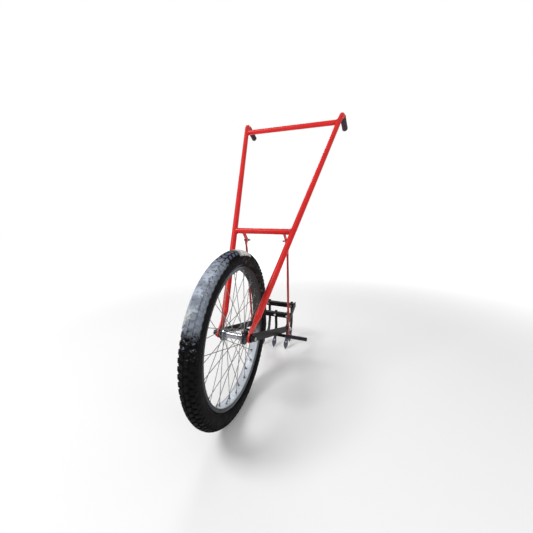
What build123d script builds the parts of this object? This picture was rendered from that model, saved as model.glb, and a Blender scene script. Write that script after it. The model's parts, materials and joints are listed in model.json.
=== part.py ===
"""Hand-pushed single-wheel hoe: a bicycle wheel in a tall tube handle frame, with a five-tine
cultivator trailed behind it on two flat arms.

Millimetres. The hoe is pushed along -Y, so +Y points back towards the operator, +X is the
operator's left and +Z points up. Left and right in the node names are the operator's.
The model is laid out with the axle over y = 0 and the ground at z = 0, and is moved along Y
at the end so that the origin lies at the bottom centre of its bounding box.
"""
import math
import os

from build123d import *

# ---------------------------------------------------------------- driving dimensions
# Wheel
wheel_radius = 260.0            # to the tops of the tread
tyre_section_radius = 27.0
tyre_wall = 4.5
tyre_mouth = 18.0               # gap between the two beads
inner_tube_wall = 1.0
rim_below_tyre = 6.0            # spoke bed below the tyre's inner edge, seen from the hub
rim_base_thickness = 1.6
rim_side_thickness = 1.8
rim_depth = 10.3
rim_tape_thickness = 0.8
rim_tape_width = 22.0
spoke_count = 36
spoke_cross_angle = 60.0        # between a spoke's hub hole and its rim hole
spoke_radius = 1.0
spoke_flange_gap = 0.8          # lets a spoke cross the flange's edge on its way inwards
spoke_rim_offset = 3.0          # rim holes sit in two rows
nipple_radius = 2.0
nipple_length = 12.0
nipple_head_radius = 3.2
nipple_head_height = 1.4
valve_radius = 3.9
valve_length = 42.0
valve_cap_radius = 4.9
valve_cap_length = 13.0
valve_angle = -105.0            # round the wheel from straight up, towards the front

# Hub
hub_over_locknuts = 96.0
flange_centre = 30.0
flange_radius = 21.0
flange_thickness = 3.0
flange_hole_circle = 18.6
hub_barrel_radius = 10.5
hub_barrel_wall = 2.0
hub_end_radius = 16.2
hub_end = 36.0
cup_radius = 14.0
cup_wall = 0.8
cup_depth = 8.0
ball_count = 9
ball_radius = 3.0
axle_radius = 4.75
axle_end = 70.0
cone_width = 10.0
lock_nut_width = 4.0
lock_nut_flats = 17.0
axle_nut_width = 8.0
axle_nut_flats = 15.0
axle_washer_radius = 11.0
washer_thickness = 1.5
dust_cap_radius = 21.0
dust_cap_thickness = 2.6

# Handle frame
tube_radius = 10.65             # half-inch pipe
tube_wall = 2.0
foot_width = 30.0               # flattened lower end of a leg
foot_thickness = 5.0
foot_length = 30.0              # from the axle to where the flat starts to open into a tube
foot_rise = 48.2                # from the axle up to the bend above the foot
foot_back = 52.8
foot_set_out = 9.0              # the bend stands this far outside the foot's inner face
handle_height = 1050.0          # where the tubes turn back into handles
handle_half_width = 224.0
handle_back = 670.6
handle_turn = Vector(10.0, 126.4, -28.5)
apex_bend_radius = 34.0
mid_crossbar_z = 557.8
top_crossbar_drop = 43.0        # below the turn of the handles
grip_length = 104.0
grip_wall = 1.8
grip_end_wall = 3.0

# Arms, struts and side bar
arm_width = 25.0
flat_thickness = 5.0
arm_pivot_y = 374.0             # bolt at the back end of the arms
arm_pivot_z = 136.0
arm_back_x = 79.0
arm_nose = 14.0                 # metal beyond each hole
arm_front_straight = 40.0
arm_back_straight = 62.0
strut_radius = 4.5
strut_paddle_thickness = 4.0
strut_eye_width = 17.0
strut_foot_width = 18.0
strut_bolt_y = 302.3
strut_bolt_z = 520.0
strut_taper = 18.0              # where the round rod is pressed flat
slot_up = 19.5                  # slot travel above and below the arm bolt
slot_down = 31.5
slot_clearance = 0.6
tab_thickness = 4.0
side_bar_radius = 6.0
side_bar_behind_tyre = 10.0     # its centre, from the back of the tyre
side_bar_short_end = -86.0
side_bar_long_end = 180.0       # stands out on the operator's left
side_bar_wall = 1.5
sleeve_length = 84.0            # rubber sleeve on the side bar's long end
sleeve_wall = 1.2
sleeve_end_wall = 3.0
plug_flange = 3.0
plug_length = 14.0

# Tool frame
plate_width = 25.0
front_bar_back = 86.0           # bars behind the arm bolts
rear_bar_back = 166.0
rear_bar_rise = 48.0
bar_size = 20.0
bar_wall = 2.0
plate_tail = 15.0
tine_spacing = 57.0             # both bars are drilled alike, and the rear one's middle hole is spare
tine_width = 12.0
tine_thickness = 6.0
tine_top = 14.0                 # above the bar's centre
tine_bulge = 20.0               # how far the shank swings back behind the bar's centre
tine_bulge_z = 92.0
tine_hook_y = 8.0
tine_hook_z = 46.0
tine_tip_y = -18.0
point_length = 49.0
point_width = 21.0
point_neck = 13.0
point_thickness = 4.0
point_lap = 24.0                # shank end to point tip
rivet_radius = 2.4

# Fasteners and fits
m8_radius = 4.0
m8_flats = 13.0
m8_head = 5.3
m8_nut = 6.5
m8_washer_radius = 8.0
m6_radius = 3.0
m6_flats = 10.0
m6_head = 4.0
m6_nut = 5.0
thread_gap = 0.05
running_gap = 0.06
seat_gap = 0.3
hole_gap = 0.25

# ---------------------------------------------------------------- worked-out places
axle_z = wheel_radius
section_centre = wheel_radius - tyre_section_radius
rim_inner_radius = wheel_radius - 2 * tyre_section_radius - rim_below_tyre
leg_inner = hub_over_locknuts / 2
leg_x = leg_inner + foot_thickness / 2
arm_front_x = leg_inner + foot_thickness + seat_gap + flat_thickness / 2
bend = Vector(leg_inner + foot_set_out, foot_back, axle_z + foot_rise)
apex = Vector(handle_half_width, handle_back, handle_height)
grip_end = apex + handle_turn
top_crossbar_z = handle_height - top_crossbar_drop
arm_tilt = math.degrees(math.atan2(arm_pivot_z - axle_z, arm_pivot_y))
arm_length = math.hypot(arm_pivot_y, arm_pivot_z - axle_z)
side_bar_y = wheel_radius + side_bar_behind_tyre
strut_x = arm_back_x + flat_thickness / 2 + seat_gap + strut_paddle_thickness / 2
tab_x = strut_x - strut_paddle_thickness / 2 - seat_gap - tab_thickness / 2
plate_x = arm_back_x - flat_thickness - seat_gap
bar_half_length = plate_x - flat_thickness / 2
front_bar_y = arm_pivot_y + front_bar_back
rear_bar_y = arm_pivot_y + rear_bar_back
rear_bar_z = arm_pivot_z + rear_bar_rise
plate_tilt = math.degrees(math.atan2(rear_bar_z - arm_pivot_z, rear_bar_y - arm_pivot_y))
front_bar_z = arm_pivot_z + (front_bar_y - arm_pivot_y) * math.tan(math.radians(plate_tilt))
leg_direction = (apex - bend).normalized()

axle_point = Vector(0, 0, axle_z)


# ---------------------------------------------------------------- small helpers
def x_cylinder(radius, x0, x1, y, z):
    """A round bar along X between x0 and x1."""
    low, high = sorted((x0, x1))
    plane = Plane(origin=(low, y, z), x_dir=(0, 1, 0), z_dir=(1, 0, 0))
    return extrude(plane * Circle(radius), high - low)


def x_ring(outer, inner, x0, x1, y, z):
    """A washer or sleeve along X."""
    low, high = sorted((x0, x1))
    return x_cylinder(outer, low, high, y, z) - x_cylinder(inner, low - 1, high + 1, y, z)


def x_hexagon(flats, x0, x1, y, z):
    """A hexagonal prism along X, with its flats the stated distance apart."""
    low, high = sorted((x0, x1))
    plane = Plane(origin=(low, y, z), x_dir=(0, 1, 0), z_dir=(1, 0, 0))
    return extrude(plane * RegularPolygon(flats / 2, 6, major_radius=False), high - low)


def rod(start, end, radius):
    """A round bar from one point to another."""
    axis = end - start
    return extrude(Plane(origin=start, z_dir=axis) * Circle(radius), axis.length)


def rod_tube(start, end, radius, wall):
    axis = (end - start).normalized()
    return rod(start, end, radius) - rod(start - axis, end + axis, radius - wall)


def on_wheel(x, radius, angle):
    """A point given by its distance from the axle and its angle round from straight up."""
    a = math.radians(angle)
    return Vector(x, -radius * math.sin(a), axle_z + radius * math.cos(a))


def wheel_turned(face):
    """Turn a profile drawn in X and Z above the axle round the axle."""
    return revolve(face, Axis(axle_point, (1, 0, 0)), 360)


def wheel_band(width, inner, outer):
    """A plain ring round the wheel."""
    return x_ring(outer, inner, -width / 2, width / 2, 0, axle_z)


def mirrored(shape):
    return mirror(shape, Plane.YZ)


def in_tilted_plane(x, y, z, tilt):
    """A sketch plane facing +X whose own x axis points back along +Y, tilted up by an angle."""
    a = math.radians(tilt)
    return Plane(origin=(x, y, z), x_dir=(0, math.cos(a), math.sin(a)), z_dir=(1, 0, 0))


def bolt_x(radius, flats, head, head_x, tip_x, y, z):
    """A hex bolt along X: its head lies outside head_x, and its shank ends at tip_x."""
    outward = math.copysign(1, head_x - tip_x)
    return x_cylinder(radius, tip_x, head_x, y, z) + x_hexagon(flats, head_x, head_x + outward * head, y, z)


def nut_x(radius, flats, x0, x1, y, z):
    low, high = sorted((x0, x1))
    return x_hexagon(flats, low, high, y, z) - x_cylinder(radius + thread_gap, low - 1, high + 1, y, z)


# ---------------------------------------------------------------- wheel
def make_tyre():
    """Casing with an open mouth between its two beads."""
    casing = Circle(tyre_section_radius) - Circle(tyre_section_radius - tyre_wall)
    mouth = Pos(0, -tyre_section_radius) * Rectangle(tyre_mouth, 2 * tyre_section_radius)
    return wheel_turned(Plane.XZ * (Pos(0, axle_z + section_centre) * (casing - mouth)))


def make_inner_tube():
    bore_radius = tyre_section_radius - tyre_wall - seat_gap
    ring = Circle(bore_radius) - Circle(bore_radius - inner_tube_wall)
    return wheel_turned(Plane.XZ * (Pos(0, axle_z + section_centre) * ring))


def rim_side_x():
    """Inner face of the rim's side wall, where the round casing rests against it."""
    top = rim_inner_radius + rim_depth
    return math.sqrt(tyre_section_radius ** 2 - (section_centre - top) ** 2) + seat_gap


def spoke_angle(index):
    return index * 360 / spoke_count


def spoke_ends(index):
    """Hub end, rim end and flange side of one spoke.

    Even spokes go to the +X flange and odd ones to the -X flange. Along each flange the spokes
    lean forwards and backwards in turn, and leave it from its outer and inner face in turn.
    """
    side = 1 if index % 2 == 0 else -1
    lean = 1 if index % 4 < 2 else -1
    face_offset = lean * (flange_thickness / 2 + spoke_radius + spoke_flange_gap)
    hub = on_wheel(side * (flange_centre + face_offset), flange_hole_circle,
                   spoke_angle(index) + lean * spoke_cross_angle)
    rim = on_wheel(side * spoke_rim_offset, rim_inner_radius, spoke_angle(index))
    return hub, rim, side, lean


def make_rim():
    """Shallow steel channel with two rows of spoke holes and a valve hole."""
    side_x = rim_side_x()
    width = 2 * (side_x + rim_side_thickness)
    top = rim_inner_radius + rim_depth
    channel = wheel_band(width, rim_inner_radius, top)
    channel -= wheel_band(2 * side_x, rim_inner_radius + rim_base_thickness, top + 1)
    holes = []
    for index in range(spoke_count):
        hub, rim, side, lean = spoke_ends(index)
        axis = (rim - hub).normalized()
        holes.append(rod(rim - axis * 3, rim + axis * 3, nipple_radius + hole_gap))
    holes.append(rod(on_wheel(0, rim_inner_radius - 3, valve_angle),
                     on_wheel(0, rim_inner_radius + 3, valve_angle), valve_radius + hole_gap))
    return channel - holes


def tape_radius():
    """Underside of the rim tape, just clear of the tilted nipple heads."""
    return rim_inner_radius + rim_base_thickness + nipple_head_height + 1.6


def make_rim_tape():
    inner = tape_radius()
    tape = wheel_band(rim_tape_width, inner, inner + rim_tape_thickness)
    return tape - rod(on_wheel(0, inner - 3, valve_angle), on_wheel(0, inner + 5, valve_angle),
                      valve_radius + hole_gap)


def make_spokes(side_wanted, lean_wanted):
    """Nine spokes: headed at the flange, bent through its hole and screwed into their nipples."""
    spokes = []
    for index in range(spoke_count):
        hub, rim, side, lean = spoke_ends(index)
        if side != side_wanted or lean != lean_wanted:
            continue
        axis = (rim - hub).normalized()
        straight = rod(hub, rim - axis * 3, spoke_radius)
        through = side * lean * (flange_thickness + spoke_radius + spoke_flange_gap)
        elbow = x_cylinder(spoke_radius, hub.X, hub.X - through, hub.Y, hub.Z)
        head_end = hub.X - through - math.copysign(spoke_radius, through)
        head = x_cylinder(2 * spoke_radius, hub.X - through, head_end, hub.Y, hub.Z)
        knuckle = Pos(hub.X, hub.Y, hub.Z) * Sphere(spoke_radius)
        spokes.append(straight + elbow + head + knuckle)
    return Compound(spokes)


def make_nipples():
    nipples = []
    for index in range(spoke_count):
        hub, rim, side, lean = spoke_ends(index)
        axis = (rim - hub).normalized()
        seat = rim + axis * (rim_base_thickness + 0.65)
        body = rod(seat - axis * nipple_length, seat, nipple_radius)
        head = rod(seat, seat + axis * nipple_head_height, nipple_head_radius)
        bore = rod(seat - axis * (nipple_length + 1), rim - axis * 2.5, spoke_radius + thread_gap)
        nipples.append(body + head - bore)
    return Compound(nipples)


def make_hub_shell():
    """Chromed shell: barrel, two drilled flanges and two bored ends for the bearing cups."""
    shell = x_cylinder(hub_barrel_radius, -flange_centre, flange_centre, 0, axle_z)
    for side in (1, -1):
        shell += x_cylinder(hub_end_radius, side * (flange_centre - 5), side * hub_end, 0, axle_z)
        shell += x_cylinder(flange_radius, side * (flange_centre - flange_thickness / 2),
                            side * (flange_centre + flange_thickness / 2), 0, axle_z)
    holes = [x_cylinder(hub_barrel_radius - hub_barrel_wall, -hub_end - 1, hub_end + 1, 0, axle_z)]
    for side in (1, -1):
        holes.append(x_cylinder(cup_radius, side * (hub_end - cup_depth), side * (hub_end + 1), 0, axle_z))
    for index in range(spoke_count):
        hub, rim, side, lean = spoke_ends(index)
        holes.append(x_cylinder(spoke_radius + hole_gap, side * (flange_centre - flange_thickness),
                                side * (flange_centre + flange_thickness), hub.Y, hub.Z))
    return shell - holes


def ball_circle():
    return cup_radius - cup_wall - ball_radius - 0.1


def make_bearing_cups():
    return Compound([x_ring(cup_radius, cup_radius - cup_wall, side * (hub_end - cup_depth),
                            side * hub_end, 0, axle_z) for side in (1, -1)])


def make_bearing_balls():
    balls = []
    for side in (1, -1):
        for index in range(ball_count):
            place = on_wheel(side * (hub_end - cup_depth / 2), ball_circle(), index * 360 / ball_count)
            balls.append(Pos(place.X, place.Y, place.Z) * Sphere(ball_radius))
    return Compound(balls)


def make_dust_caps():
    """Pressed caps that close both ends of the hub round the cones."""
    return Compound([x_ring(dust_cap_radius, cone_radius() + 0.6, side * hub_end,
                            side * (hub_end + dust_cap_thickness), 0, axle_z) for side in (1, -1)])


def make_valve_stem():
    foot = section_centre - tyre_section_radius + tyre_wall
    start = on_wheel(0, foot, valve_angle)
    end = on_wheel(0, foot - valve_length, valve_angle)
    return rod(start, end, valve_radius)


def make_valve_cap():
    """Screw cap over the last stretch of the stem."""
    foot = section_centre - tyre_section_radius + tyre_wall
    inner_end = foot - valve_length
    start = on_wheel(0, inner_end + valve_cap_length - 2, valve_angle)
    end = on_wheel(0, inner_end - 2, valve_angle)
    bore_end = on_wheel(0, inner_end - thread_gap, valve_angle)
    mouth = on_wheel(0, inner_end + valve_cap_length, valve_angle)
    return rod(start, end, valve_cap_radius) - rod(mouth, bore_end, valve_radius + thread_gap)


# ---------------------------------------------------------------- axle set
def cone_radius():
    return ball_circle() - ball_radius - 0.1


def make_axle():
    return x_cylinder(axle_radius, -axle_end, axle_end, 0, axle_z)


def make_axle_cones():
    outer_face = leg_inner - lock_nut_width
    return Compound([x_ring(cone_radius(), axle_radius + thread_gap, side * (outer_face - cone_width - 3),
                            side * outer_face, 0, axle_z) for side in (1, -1)])


def make_lock_nuts():
    return Compound([nut_x(axle_radius, lock_nut_flats, side * (leg_inner - lock_nut_width),
                           side * leg_inner, 0, axle_z) for side in (1, -1)])


def axle_washer_x():
    return arm_front_x + flat_thickness / 2 + seat_gap


def make_axle_washers():
    return Compound([x_ring(axle_washer_radius, axle_radius + hole_gap, side * axle_washer_x(),
                            side * (axle_washer_x() + washer_thickness), 0, axle_z) for side in (1, -1)])


def make_axle_nuts():
    start = axle_washer_x() + washer_thickness
    return Compound([nut_x(axle_radius, axle_nut_flats, side * start, side * (start + axle_nut_width),
                           0, axle_z) for side in (1, -1)])


# ---------------------------------------------------------------- handle frame
def leg_at(z):
    """The point on the left-hand leg's straight stretch at a height."""
    return bend + (apex - bend) * ((z - bend.Z) / (apex.Z - bend.Z))


def leg_core():
    """The leg's straight stretch as a filled bar, used to cope the crossbars' ends."""
    return rod(bend, apex, tube_radius)


def handle_path():
    """Centre line of the tube from the bend at the foot to the end inside the grip."""
    tube_end = grip_end - (grip_end - apex).normalized() * grip_end_wall
    return FilletPolyline(bend, apex, tube_end, radius=apex_bend_radius)


def make_leg():
    """Left-hand leg: flattened foot, straight tube and a turned-back handle."""
    foot_axis = Vector(0, bend.Y, bend.Z - axle_z).normalized()
    foot_tilt = math.degrees(math.atan2(foot_axis.Z, foot_axis.Y))
    foot_plane = in_tilted_plane(leg_inner, 0, axle_z, foot_tilt)
    outline = Circle(foot_width / 2) + Pos(foot_length / 2, 0) * Rectangle(foot_length, foot_width)
    foot = extrude(foot_plane * outline, foot_thickness)
    flat_start = Vector(leg_x, 0, axle_z) + foot_axis * (foot_length - 4)
    flat = Plane(origin=flat_start, x_dir=(1, 0, 0), z_dir=foot_axis)
    round_end = Plane(origin=bend + leg_direction * 4, x_dir=(1, 0, 0), z_dir=leg_direction)
    neck = loft([flat * Ellipse(foot_thickness / 2 + 0.3, foot_width / 2),
                 round_end * Circle(tube_radius)])
    path = handle_path()
    section = Plane(origin=bend, z_dir=leg_direction)
    tube = sweep(section * Circle(tube_radius), path)
    bore = sweep(section * Circle(tube_radius - tube_wall), path)
    leg = foot + neck + (tube - bore)
    return leg - x_cylinder(axle_radius + hole_gap, leg_inner - 5, leg_inner + foot_thickness + 5, 0, axle_z)


def make_crossbar(z):
    """Tube between the legs at a height, with its ends coped round them."""
    end = leg_at(z)
    start = Vector(-end.X, end.Y, end.Z)
    bar = rod_tube(start, end, tube_radius, tube_wall)
    core = leg_core()
    return (bar - core - mirrored(core)).solids().sort_by(SortBy.VOLUME)[-1]


def make_strut_tab():
    """Plate under the middle crossbar that carries the top of a strut."""
    centre = leg_at(mid_crossbar_z)
    plane = in_tilted_plane(tab_x - tab_thickness / 2, 0, 0, 0)
    boss = Pos(strut_bolt_y, strut_bolt_z) * Circle(strut_eye_width / 2)
    foot = Pos(centre.Y, mid_crossbar_z) * Rectangle(2 * tube_radius, 2)
    plate = extrude(plane * make_hull(boss.edges() + foot.edges()), tab_thickness)
    plate -= x_cylinder(tube_radius, tab_x - 20, tab_x + 20, centre.Y, mid_crossbar_z)
    plate = plate.solids().sort_by(SortBy.VOLUME)[-1]
    return plate - x_cylinder(m6_radius + thread_gap, tab_x - 20, tab_x + 20, strut_bolt_y, strut_bolt_z)


def make_grip():
    """Closed rubber sleeve over the end of the handle."""
    axis = (grip_end - apex).normalized()
    sleeve = rod(grip_end - axis * grip_length, grip_end, tube_radius + grip_wall)
    return sleeve - rod(grip_end - axis * (grip_length + 1), grip_end - axis * grip_end_wall, tube_radius)


# ---------------------------------------------------------------- arms and side bar
def arm_point(distance, x):
    """A point on the arm's centre line, measured from the axle."""
    a = math.radians(arm_tilt)
    return Vector(x, distance * math.cos(a), axle_z + distance * math.sin(a))


def make_arm():
    """Flat bar set out from the leg to the tool frame, with two gentle bends."""
    a = math.radians(arm_tilt)
    plan = Plane(origin=axle_point, x_dir=(0, math.cos(a), math.sin(a)), z_dir=(0, -math.sin(a), math.cos(a)))
    bends = [(-arm_nose, arm_front_x), (arm_front_straight, arm_front_x),
             (arm_length - arm_back_straight, arm_back_x), (arm_length + arm_nose, arm_back_x)]
    half = flat_thickness / 2
    # In this plane the sketch's y axis is -X, so x values change sign.
    outline = [(s, -(x - half)) for s, x in bends] + [(s, -(x + half)) for s, x in reversed(bends)]
    bar = extrude(plan * Polygon(*outline, align=None), arm_width / 2, both=True)
    side = in_tilted_plane(0, 0, axle_z, arm_tilt)
    ends = (Circle(arm_width / 2) + Pos(arm_length, 0) * Circle(arm_width / 2)
            + Pos(arm_length / 2, 0) * Rectangle(arm_length, arm_width))
    bar = bar & extrude(side * ends, 200)
    bar -= x_cylinder(axle_radius + running_gap, 0, 200, 0, axle_z)
    return bar - x_cylinder(m8_radius + running_gap, 0, 200, arm_pivot_y, arm_pivot_z)


def side_bar_z():
    """Height of the side bar, lying against the lower edge of the arms."""
    a = math.radians(arm_tilt)
    edge = axle_z + side_bar_y * math.tan(a) - arm_width / 2 / math.cos(a)
    return edge - side_bar_radius / math.cos(a) - 0.1


def make_side_bar():
    """Tube across both arms that stands out on the left as a step or a rest."""
    return x_ring(side_bar_radius, side_bar_radius - side_bar_wall, side_bar_short_end + plug_flange,
                  side_bar_long_end - sleeve_end_wall, side_bar_y, side_bar_z())


def make_side_bar_plug():
    """Push-in plug whose flange closes the short end of the side bar."""
    end = side_bar_short_end
    flange = x_cylinder(side_bar_radius, end, end + plug_flange, side_bar_y, side_bar_z())
    return flange + x_cylinder(side_bar_radius - side_bar_wall - thread_gap, end, end + plug_length,
                               side_bar_y, side_bar_z())


def make_side_bar_sleeve():
    """Closed rubber sleeve over the long end of the side bar."""
    end = side_bar_long_end
    sleeve = x_cylinder(side_bar_radius + sleeve_wall, end - sleeve_length, end, side_bar_y, side_bar_z())
    return sleeve - x_cylinder(side_bar_radius, end - sleeve_length - 1, end - sleeve_end_wall,
                               side_bar_y, side_bar_z())


def strut_washer_x():
    return strut_x + strut_paddle_thickness / 2 + seat_gap


def make_arm_bolts():
    """Bolts that hold the arm, the tool frame and the strut together at each side."""
    inner_face = plate_x - flat_thickness / 2 - seat_gap
    tip = strut_washer_x() + washer_thickness + m8_nut + 3
    bolt = bolt_x(m8_radius, m8_flats, m8_head, inner_face, tip, arm_pivot_y, arm_pivot_z)
    return Compound([bolt, mirrored(bolt)])


def make_arm_nuts():
    start = strut_washer_x() + washer_thickness
    nut = nut_x(m8_radius, m8_flats, start, start + m8_nut, arm_pivot_y, arm_pivot_z)
    return Compound([nut, mirrored(nut)])


def make_arm_washers():
    start = strut_washer_x()
    washer = x_ring(m8_washer_radius, m8_radius + thread_gap, start, start + washer_thickness,
                    arm_pivot_y, arm_pivot_z)
    return Compound([washer, mirrored(washer)])


# ---------------------------------------------------------------- struts
def make_strut():
    """Round rod pressed flat at both ends: a round eye at the top and a long slot at the foot."""
    top = Vector(strut_x, strut_bolt_y, strut_bolt_z)
    foot = Vector(strut_x, arm_pivot_y, arm_pivot_z)
    axis = (foot - top).normalized()
    length = (foot - top).length
    plane = Plane(origin=(strut_x - strut_paddle_thickness / 2, top.Y, top.Z), x_dir=axis, z_dir=(1, 0, 0))
    eye_end = strut_eye_width
    eye = Circle(strut_eye_width / 2) + Pos(eye_end / 2, 0) * Rectangle(eye_end, strut_eye_width)
    paddle_start = length - slot_up - m8_radius - 12
    paddle_end = length + slot_down + slot_clearance
    paddle = (Pos((paddle_start + paddle_end) / 2, 0) * Rectangle(paddle_end - paddle_start, strut_foot_width)
              + Pos(paddle_end, 0) * Circle(strut_foot_width / 2))
    slot_middle = length + (slot_down - slot_up) / 2
    slot = Pos(slot_middle, 0) * SlotCenterToCenter(slot_up + slot_down, 2 * (m8_radius + slot_clearance))
    hole = Circle(m6_radius + running_gap)
    flats = extrude(plane * (eye + paddle - slot - hole), strut_paddle_thickness)

    def section(distance, shape):
        return Plane(origin=top + axis * distance, x_dir=(1, 0, 0), z_dir=axis) * shape

    round_section = Circle(strut_radius)
    half = strut_paddle_thickness / 2
    upper = loft([section(eye_end, Ellipse(half, strut_eye_width / 2)),
                  section(eye_end + strut_taper, round_section)])
    lower = loft([section(paddle_start - strut_taper, round_section),
                  section(paddle_start, Ellipse(half, strut_foot_width / 2))])
    middle = rod(top + axis * (eye_end + strut_taper), top + axis * (paddle_start - strut_taper),
                 strut_radius)
    return flats + upper + middle + lower


def make_strut_bolts():
    """Bolts through the tabs and the struts' eyes, headed on the outside."""
    outer_face = strut_x + strut_paddle_thickness / 2 + seat_gap
    tip = tab_x - tab_thickness / 2 - m6_nut - 7
    bolt = bolt_x(m6_radius, m6_flats, m6_head, outer_face, tip, strut_bolt_y, strut_bolt_z)
    return Compound([bolt, mirrored(bolt)])


def make_strut_nuts():
    start = tab_x - tab_thickness / 2
    nut = nut_x(m6_radius, m6_flats, start - m6_nut, start, strut_bolt_y, strut_bolt_z)
    return Compound([nut, mirrored(nut)])


# ---------------------------------------------------------------- tool frame
def make_side_plate():
    """Flat bar from the arm bolt back to the rear bar."""
    length = math.hypot(rear_bar_y - arm_pivot_y, rear_bar_z - arm_pivot_z) + plate_tail
    plane = in_tilted_plane(plate_x - flat_thickness / 2, arm_pivot_y, arm_pivot_z, plate_tilt)
    outline = Circle(plate_width / 2) + Pos(length / 2, 0) * Rectangle(length, plate_width)
    plate = extrude(plane * outline, flat_thickness)
    return plate - x_cylinder(m8_radius + running_gap, 0, 200, arm_pivot_y, arm_pivot_z)


def hole_places():
    return [-tine_spacing, 0, tine_spacing]


def make_tool_bar(y, z):
    """Square tube between the side plates, drilled from front to back for the tines."""
    size = 2 * bar_half_length
    bar = Box(size, bar_size, bar_size) - Box(size + 2, bar_size - 2 * bar_wall, bar_size - 2 * bar_wall)
    for x in hole_places():
        bar -= Pos(x, 0, 0) * Rot(90, 0, 0) * Cylinder(m6_radius + hole_gap, bar_size + 2)
    return Pos(0, y, z) * bar


def tine_layout(bar_y):
    """Key points of a tine's centre line in Y and Z: bulge, hook and tip, and the tip's direction."""
    bulge = Vector(0, bar_y + tine_bulge, tine_bulge_z)
    hook = Vector(0, bar_y + tine_hook_y, tine_hook_z)
    tip_guess = Vector(0, bar_y + tine_tip_y, 0)
    axis = (tip_guess - hook).normalized()
    front = Vector(0, axis.Z, -axis.Y)
    # The point's lower back corner is what stands on the ground.
    tip = tip_guess + axis * (front.Z * tine_thickness / 2 / -axis.Z)
    return bulge, hook, tip, axis, front


def make_tine(bar_y, bar_z, x):
    """Spring-steel shank bolted to the back of a bar, swung back and hooked forward at the foot."""
    bulge, hook, tip, axis, front = tine_layout(bar_y)
    back_face = bar_y + bar_size / 2
    top = Vector(0, back_face + tine_thickness / 2, bar_z + tine_top)
    below_bar = Vector(0, top.Y, bar_z - bar_size / 2 - 2)
    end = tip - axis * point_lap
    flat = Plane(origin=(x - tine_width / 2, 0, 0), x_dir=(0, 1, 0), z_dir=(1, 0, 0))
    line = FilletPolyline((top.Y, top.Z), (below_bar.Y, below_bar.Z), (bulge.Y, bulge.Z),
                          (hook.Y, hook.Z), (end.Y, end.Z), radius=18)
    outline = flat * trace(line, tine_thickness)
    shank = extrude(outline, tine_width)
    shank -= Pos(x, top.Y, bar_z) * Rot(90, 0, 0) * Cylinder(m6_radius + thread_gap, 3 * tine_thickness)
    middle, lap = rivet_place(bar_y)
    return shank - rod(Vector(x, middle.Y, middle.Z) - front * 20, Vector(x, middle.Y, middle.Z) + front * 20,
                       rivet_radius + thread_gap)


def rivet_place(bar_y):
    """Where the rivet crosses the shank's centre line, and its distance from the tip."""
    bulge, hook, tip, axis, front = tine_layout(bar_y)
    lap = (point_length + point_lap) / 2 - 3
    return tip - axis * lap, lap


def make_point(bar_y, x):
    """Spear-shaped cultivator point riveted to the front of a shank."""
    bulge, hook, tip, axis, front = tine_layout(bar_y)
    origin = Vector(x, tip.Y, tip.Z) + front * (tine_thickness / 2)
    face = Plane(origin=origin, x_dir=(1, 0, 0), z_dir=front)
    up = 1 if (Vector(face.y_dir) - axis).length > 1 else -1
    shoulder = point_length * 0.62
    outline = [(0, 0), (point_width / 2, up * shoulder * 0.72), (point_neck / 2, up * point_length),
               (-point_neck / 2, up * point_length), (-point_width / 2, up * shoulder * 0.72)]
    plate = extrude(face * Polygon(*outline, align=None), point_thickness)
    middle, lap = rivet_place(bar_y)
    centre = Vector(x, middle.Y, middle.Z)
    return plate - rod(centre - front * 20, centre + front * 20, rivet_radius + thread_gap)


def make_point_rivets(tines):
    rivets = []
    for bar_y, bar_z, x in tines:
        bulge, hook, tip, axis, front = tine_layout(bar_y)
        middle, lap = rivet_place(bar_y)
        centre = Vector(x, middle.Y, middle.Z)
        back = centre - front * (tine_thickness / 2)
        face = centre + front * (tine_thickness / 2 + point_thickness)
        rivets.append(rod(back, face, rivet_radius)
                      + rod(back - front * 1.6, back, 1.8 * rivet_radius)
                      + rod(face, face + front * 1.2, 1.8 * rivet_radius))
    return Compound(rivets)


def make_tine_bolts(tines):
    """Bolts through a bar and a shank, headed at the front."""
    bolts = []
    for bar_y, bar_z, x in tines:
        front_face = Vector(x, bar_y - bar_size / 2, bar_z)
        tip = Vector(x, bar_y + bar_size / 2 + tine_thickness + m6_nut + 2.5, bar_z)
        shank = rod(front_face, tip, m6_radius)
        head = extrude(Plane(origin=front_face, z_dir=(0, -1, 0))
                       * RegularPolygon(m6_flats / 2, 6, major_radius=False), m6_head)
        bolts.append(shank + head)
    return Compound(bolts)


def make_tine_nuts(tines):
    nuts = []
    for bar_y, bar_z, x in tines:
        start = Vector(x, bar_y + bar_size / 2 + tine_thickness, bar_z)
        outline = RegularPolygon(m6_flats / 2, 6, major_radius=False) - Circle(m6_radius + thread_gap)
        nuts.append(extrude(Plane(origin=start, z_dir=(0, 1, 0)) * outline, m6_nut))
    return Compound(nuts)


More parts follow.
